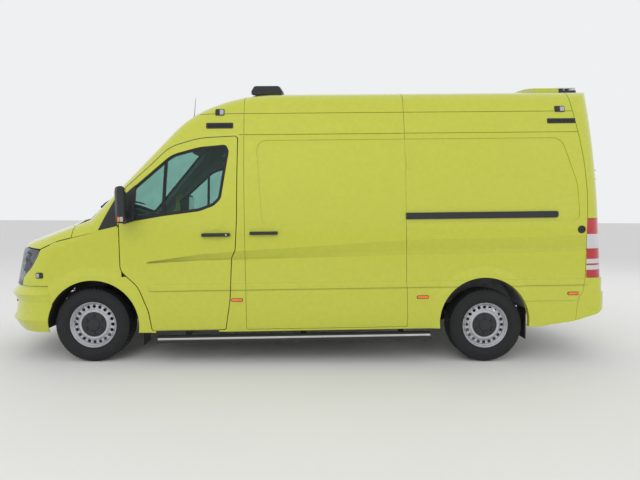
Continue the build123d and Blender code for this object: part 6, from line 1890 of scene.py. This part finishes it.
def make_world(colour):
    """Pale background seen by the camera and in reflections, softer as a light."""
    world = bpy.data.worlds.new("studio")
    bpy.context.scene.world = world
    world.use_nodes = True
    tree = world.node_tree
    tree.nodes.clear()
    seen = add_node(tree, "ShaderNodeBackground", {"Color": (*colour, 1)})
    light = add_node(tree, "ShaderNodeBackground",
                     {"Color": (1, 1, 1, 1), "Strength": WORLD_LIGHT})
    path = add_node(tree, "ShaderNodeLightPath")
    total = path.outputs["Is Camera Ray"]
    for extra in ("Is Glossy Ray", "Is Transmission Ray"):
        add = add_node(tree, "ShaderNodeMath", {0: total, 1: path.outputs[extra]},
                       operation="ADD", use_clamp=True)
        total = add.outputs["Value"]
    mix = add_node(tree, "ShaderNodeMixShader", {
        "Fac": total, 1: light.outputs["Background"], 2: seen.outputs["Background"]})
    add_node(tree, "ShaderNodeOutputWorld", {"Surface": mix.outputs["Shader"]})


class VAN_OT_stage(bpy.types.Operator):
    """Set the floor, the background, the lights and the camera"""
    bl_idname = "van.stage"
    bl_label = "Stage"

    def execute(self, context):
        sizes, colours = context.scene.van_sizes, context.scene.van_colours
        make_world(colours.backdrop)
        reach = sizes.floor_reach
        mesh = bpy.data.meshes.new("floor")
        mesh.from_pydata([(-reach, -reach, 0), (reach, -reach, 0), (reach, reach, 0),
                          (-reach, reach, 0)], [], [(0, 1, 2, 3)])
        ground = placed("studio_floor", mesh)
        mesh.materials.append(solid_material("studio_floor", tuple(colours.floor), 0.8,
                                             grain=30.0, contrast=0.01, relief=0.02))
        target = Vector(LIGHTS_AIM)
        for name, place, size, power in LIGHTS:
            light = bpy.data.lights.new(name, "AREA")
            light.shape = "DISK"
            light.size = size
            light.energy = power
            lamp = placed(f"light_{name}", light)
            lamp.location = place
            lamp.visible_glossy = False
            lamp.rotation_euler = (target - Vector(place)).to_track_quat("-Z", "Y").to_euler()
        data = bpy.data.cameras.new("camera")
        data.sensor_width = SENSOR_WIDTH
        data.lens = sizes.camera_lens
        data.clip_end = VIEW_END
        camera = placed("camera", data)
        camera.matrix_world = camera_matrix()
        context.scene.camera = camera
        context.scene.view_settings.view_transform = "Standard"
        return {"FINISHED"}


PIECES = (VAN_OT_finishes, VAN_OT_wheels, VAN_OT_tyres, VAN_OT_seals, VAN_OT_mirrors,
          VAN_OT_headlamps, VAN_OT_side_lamps, VAN_OT_roof_lamps, VAN_OT_wipers,
          VAN_OT_step_treads, VAN_OT_rear_fittings, VAN_OT_front, VAN_OT_seats,
          VAN_OT_steering, VAN_OT_cabin, VAN_OT_stage)


class VAN_PT_panel(bpy.types.Panel):
    """Sizes, colours and the steps that build the van's looks"""
    bl_idname = "VAN_PT_panel"
    bl_label = "Ambulance van"
    bl_space_type = "VIEW_3D"
    bl_region_type = "UI"
    bl_category = "Van"

    def draw(self, context):
        for settings in (context.scene.van_sizes, context.scene.van_colours):
            for name in settings.bl_rna.properties.keys():
                if name not in ("rna_type", "name"):
                    self.layout.prop(settings, name)
        for piece in PIECES:
            self.layout.operator(piece.bl_idname)


CLASSES = (VanSizes, VanColours, *PIECES, VAN_PT_panel)


def register():
    """Add the classes and the scene's settings."""
    for cls in CLASSES:
        bpy.utils.register_class(cls)
    bpy.types.Scene.van_sizes = bpy.props.PointerProperty(type=VanSizes)
    bpy.types.Scene.van_colours = bpy.props.PointerProperty(type=VanColours)


def unregister():
    """Take the settings and the classes away again."""
    del bpy.types.Scene.van_colours
    del bpy.types.Scene.van_sizes
    for cls in reversed(CLASSES):
        bpy.utils.unregister_class(cls)


def main():
    """Build every piece in order."""
    register()
    for piece in PIECES:
        group, name = piece.bl_idname.split(".")
        getattr(getattr(bpy.ops, group), name)()


if __name__ == "__main__":
    main()
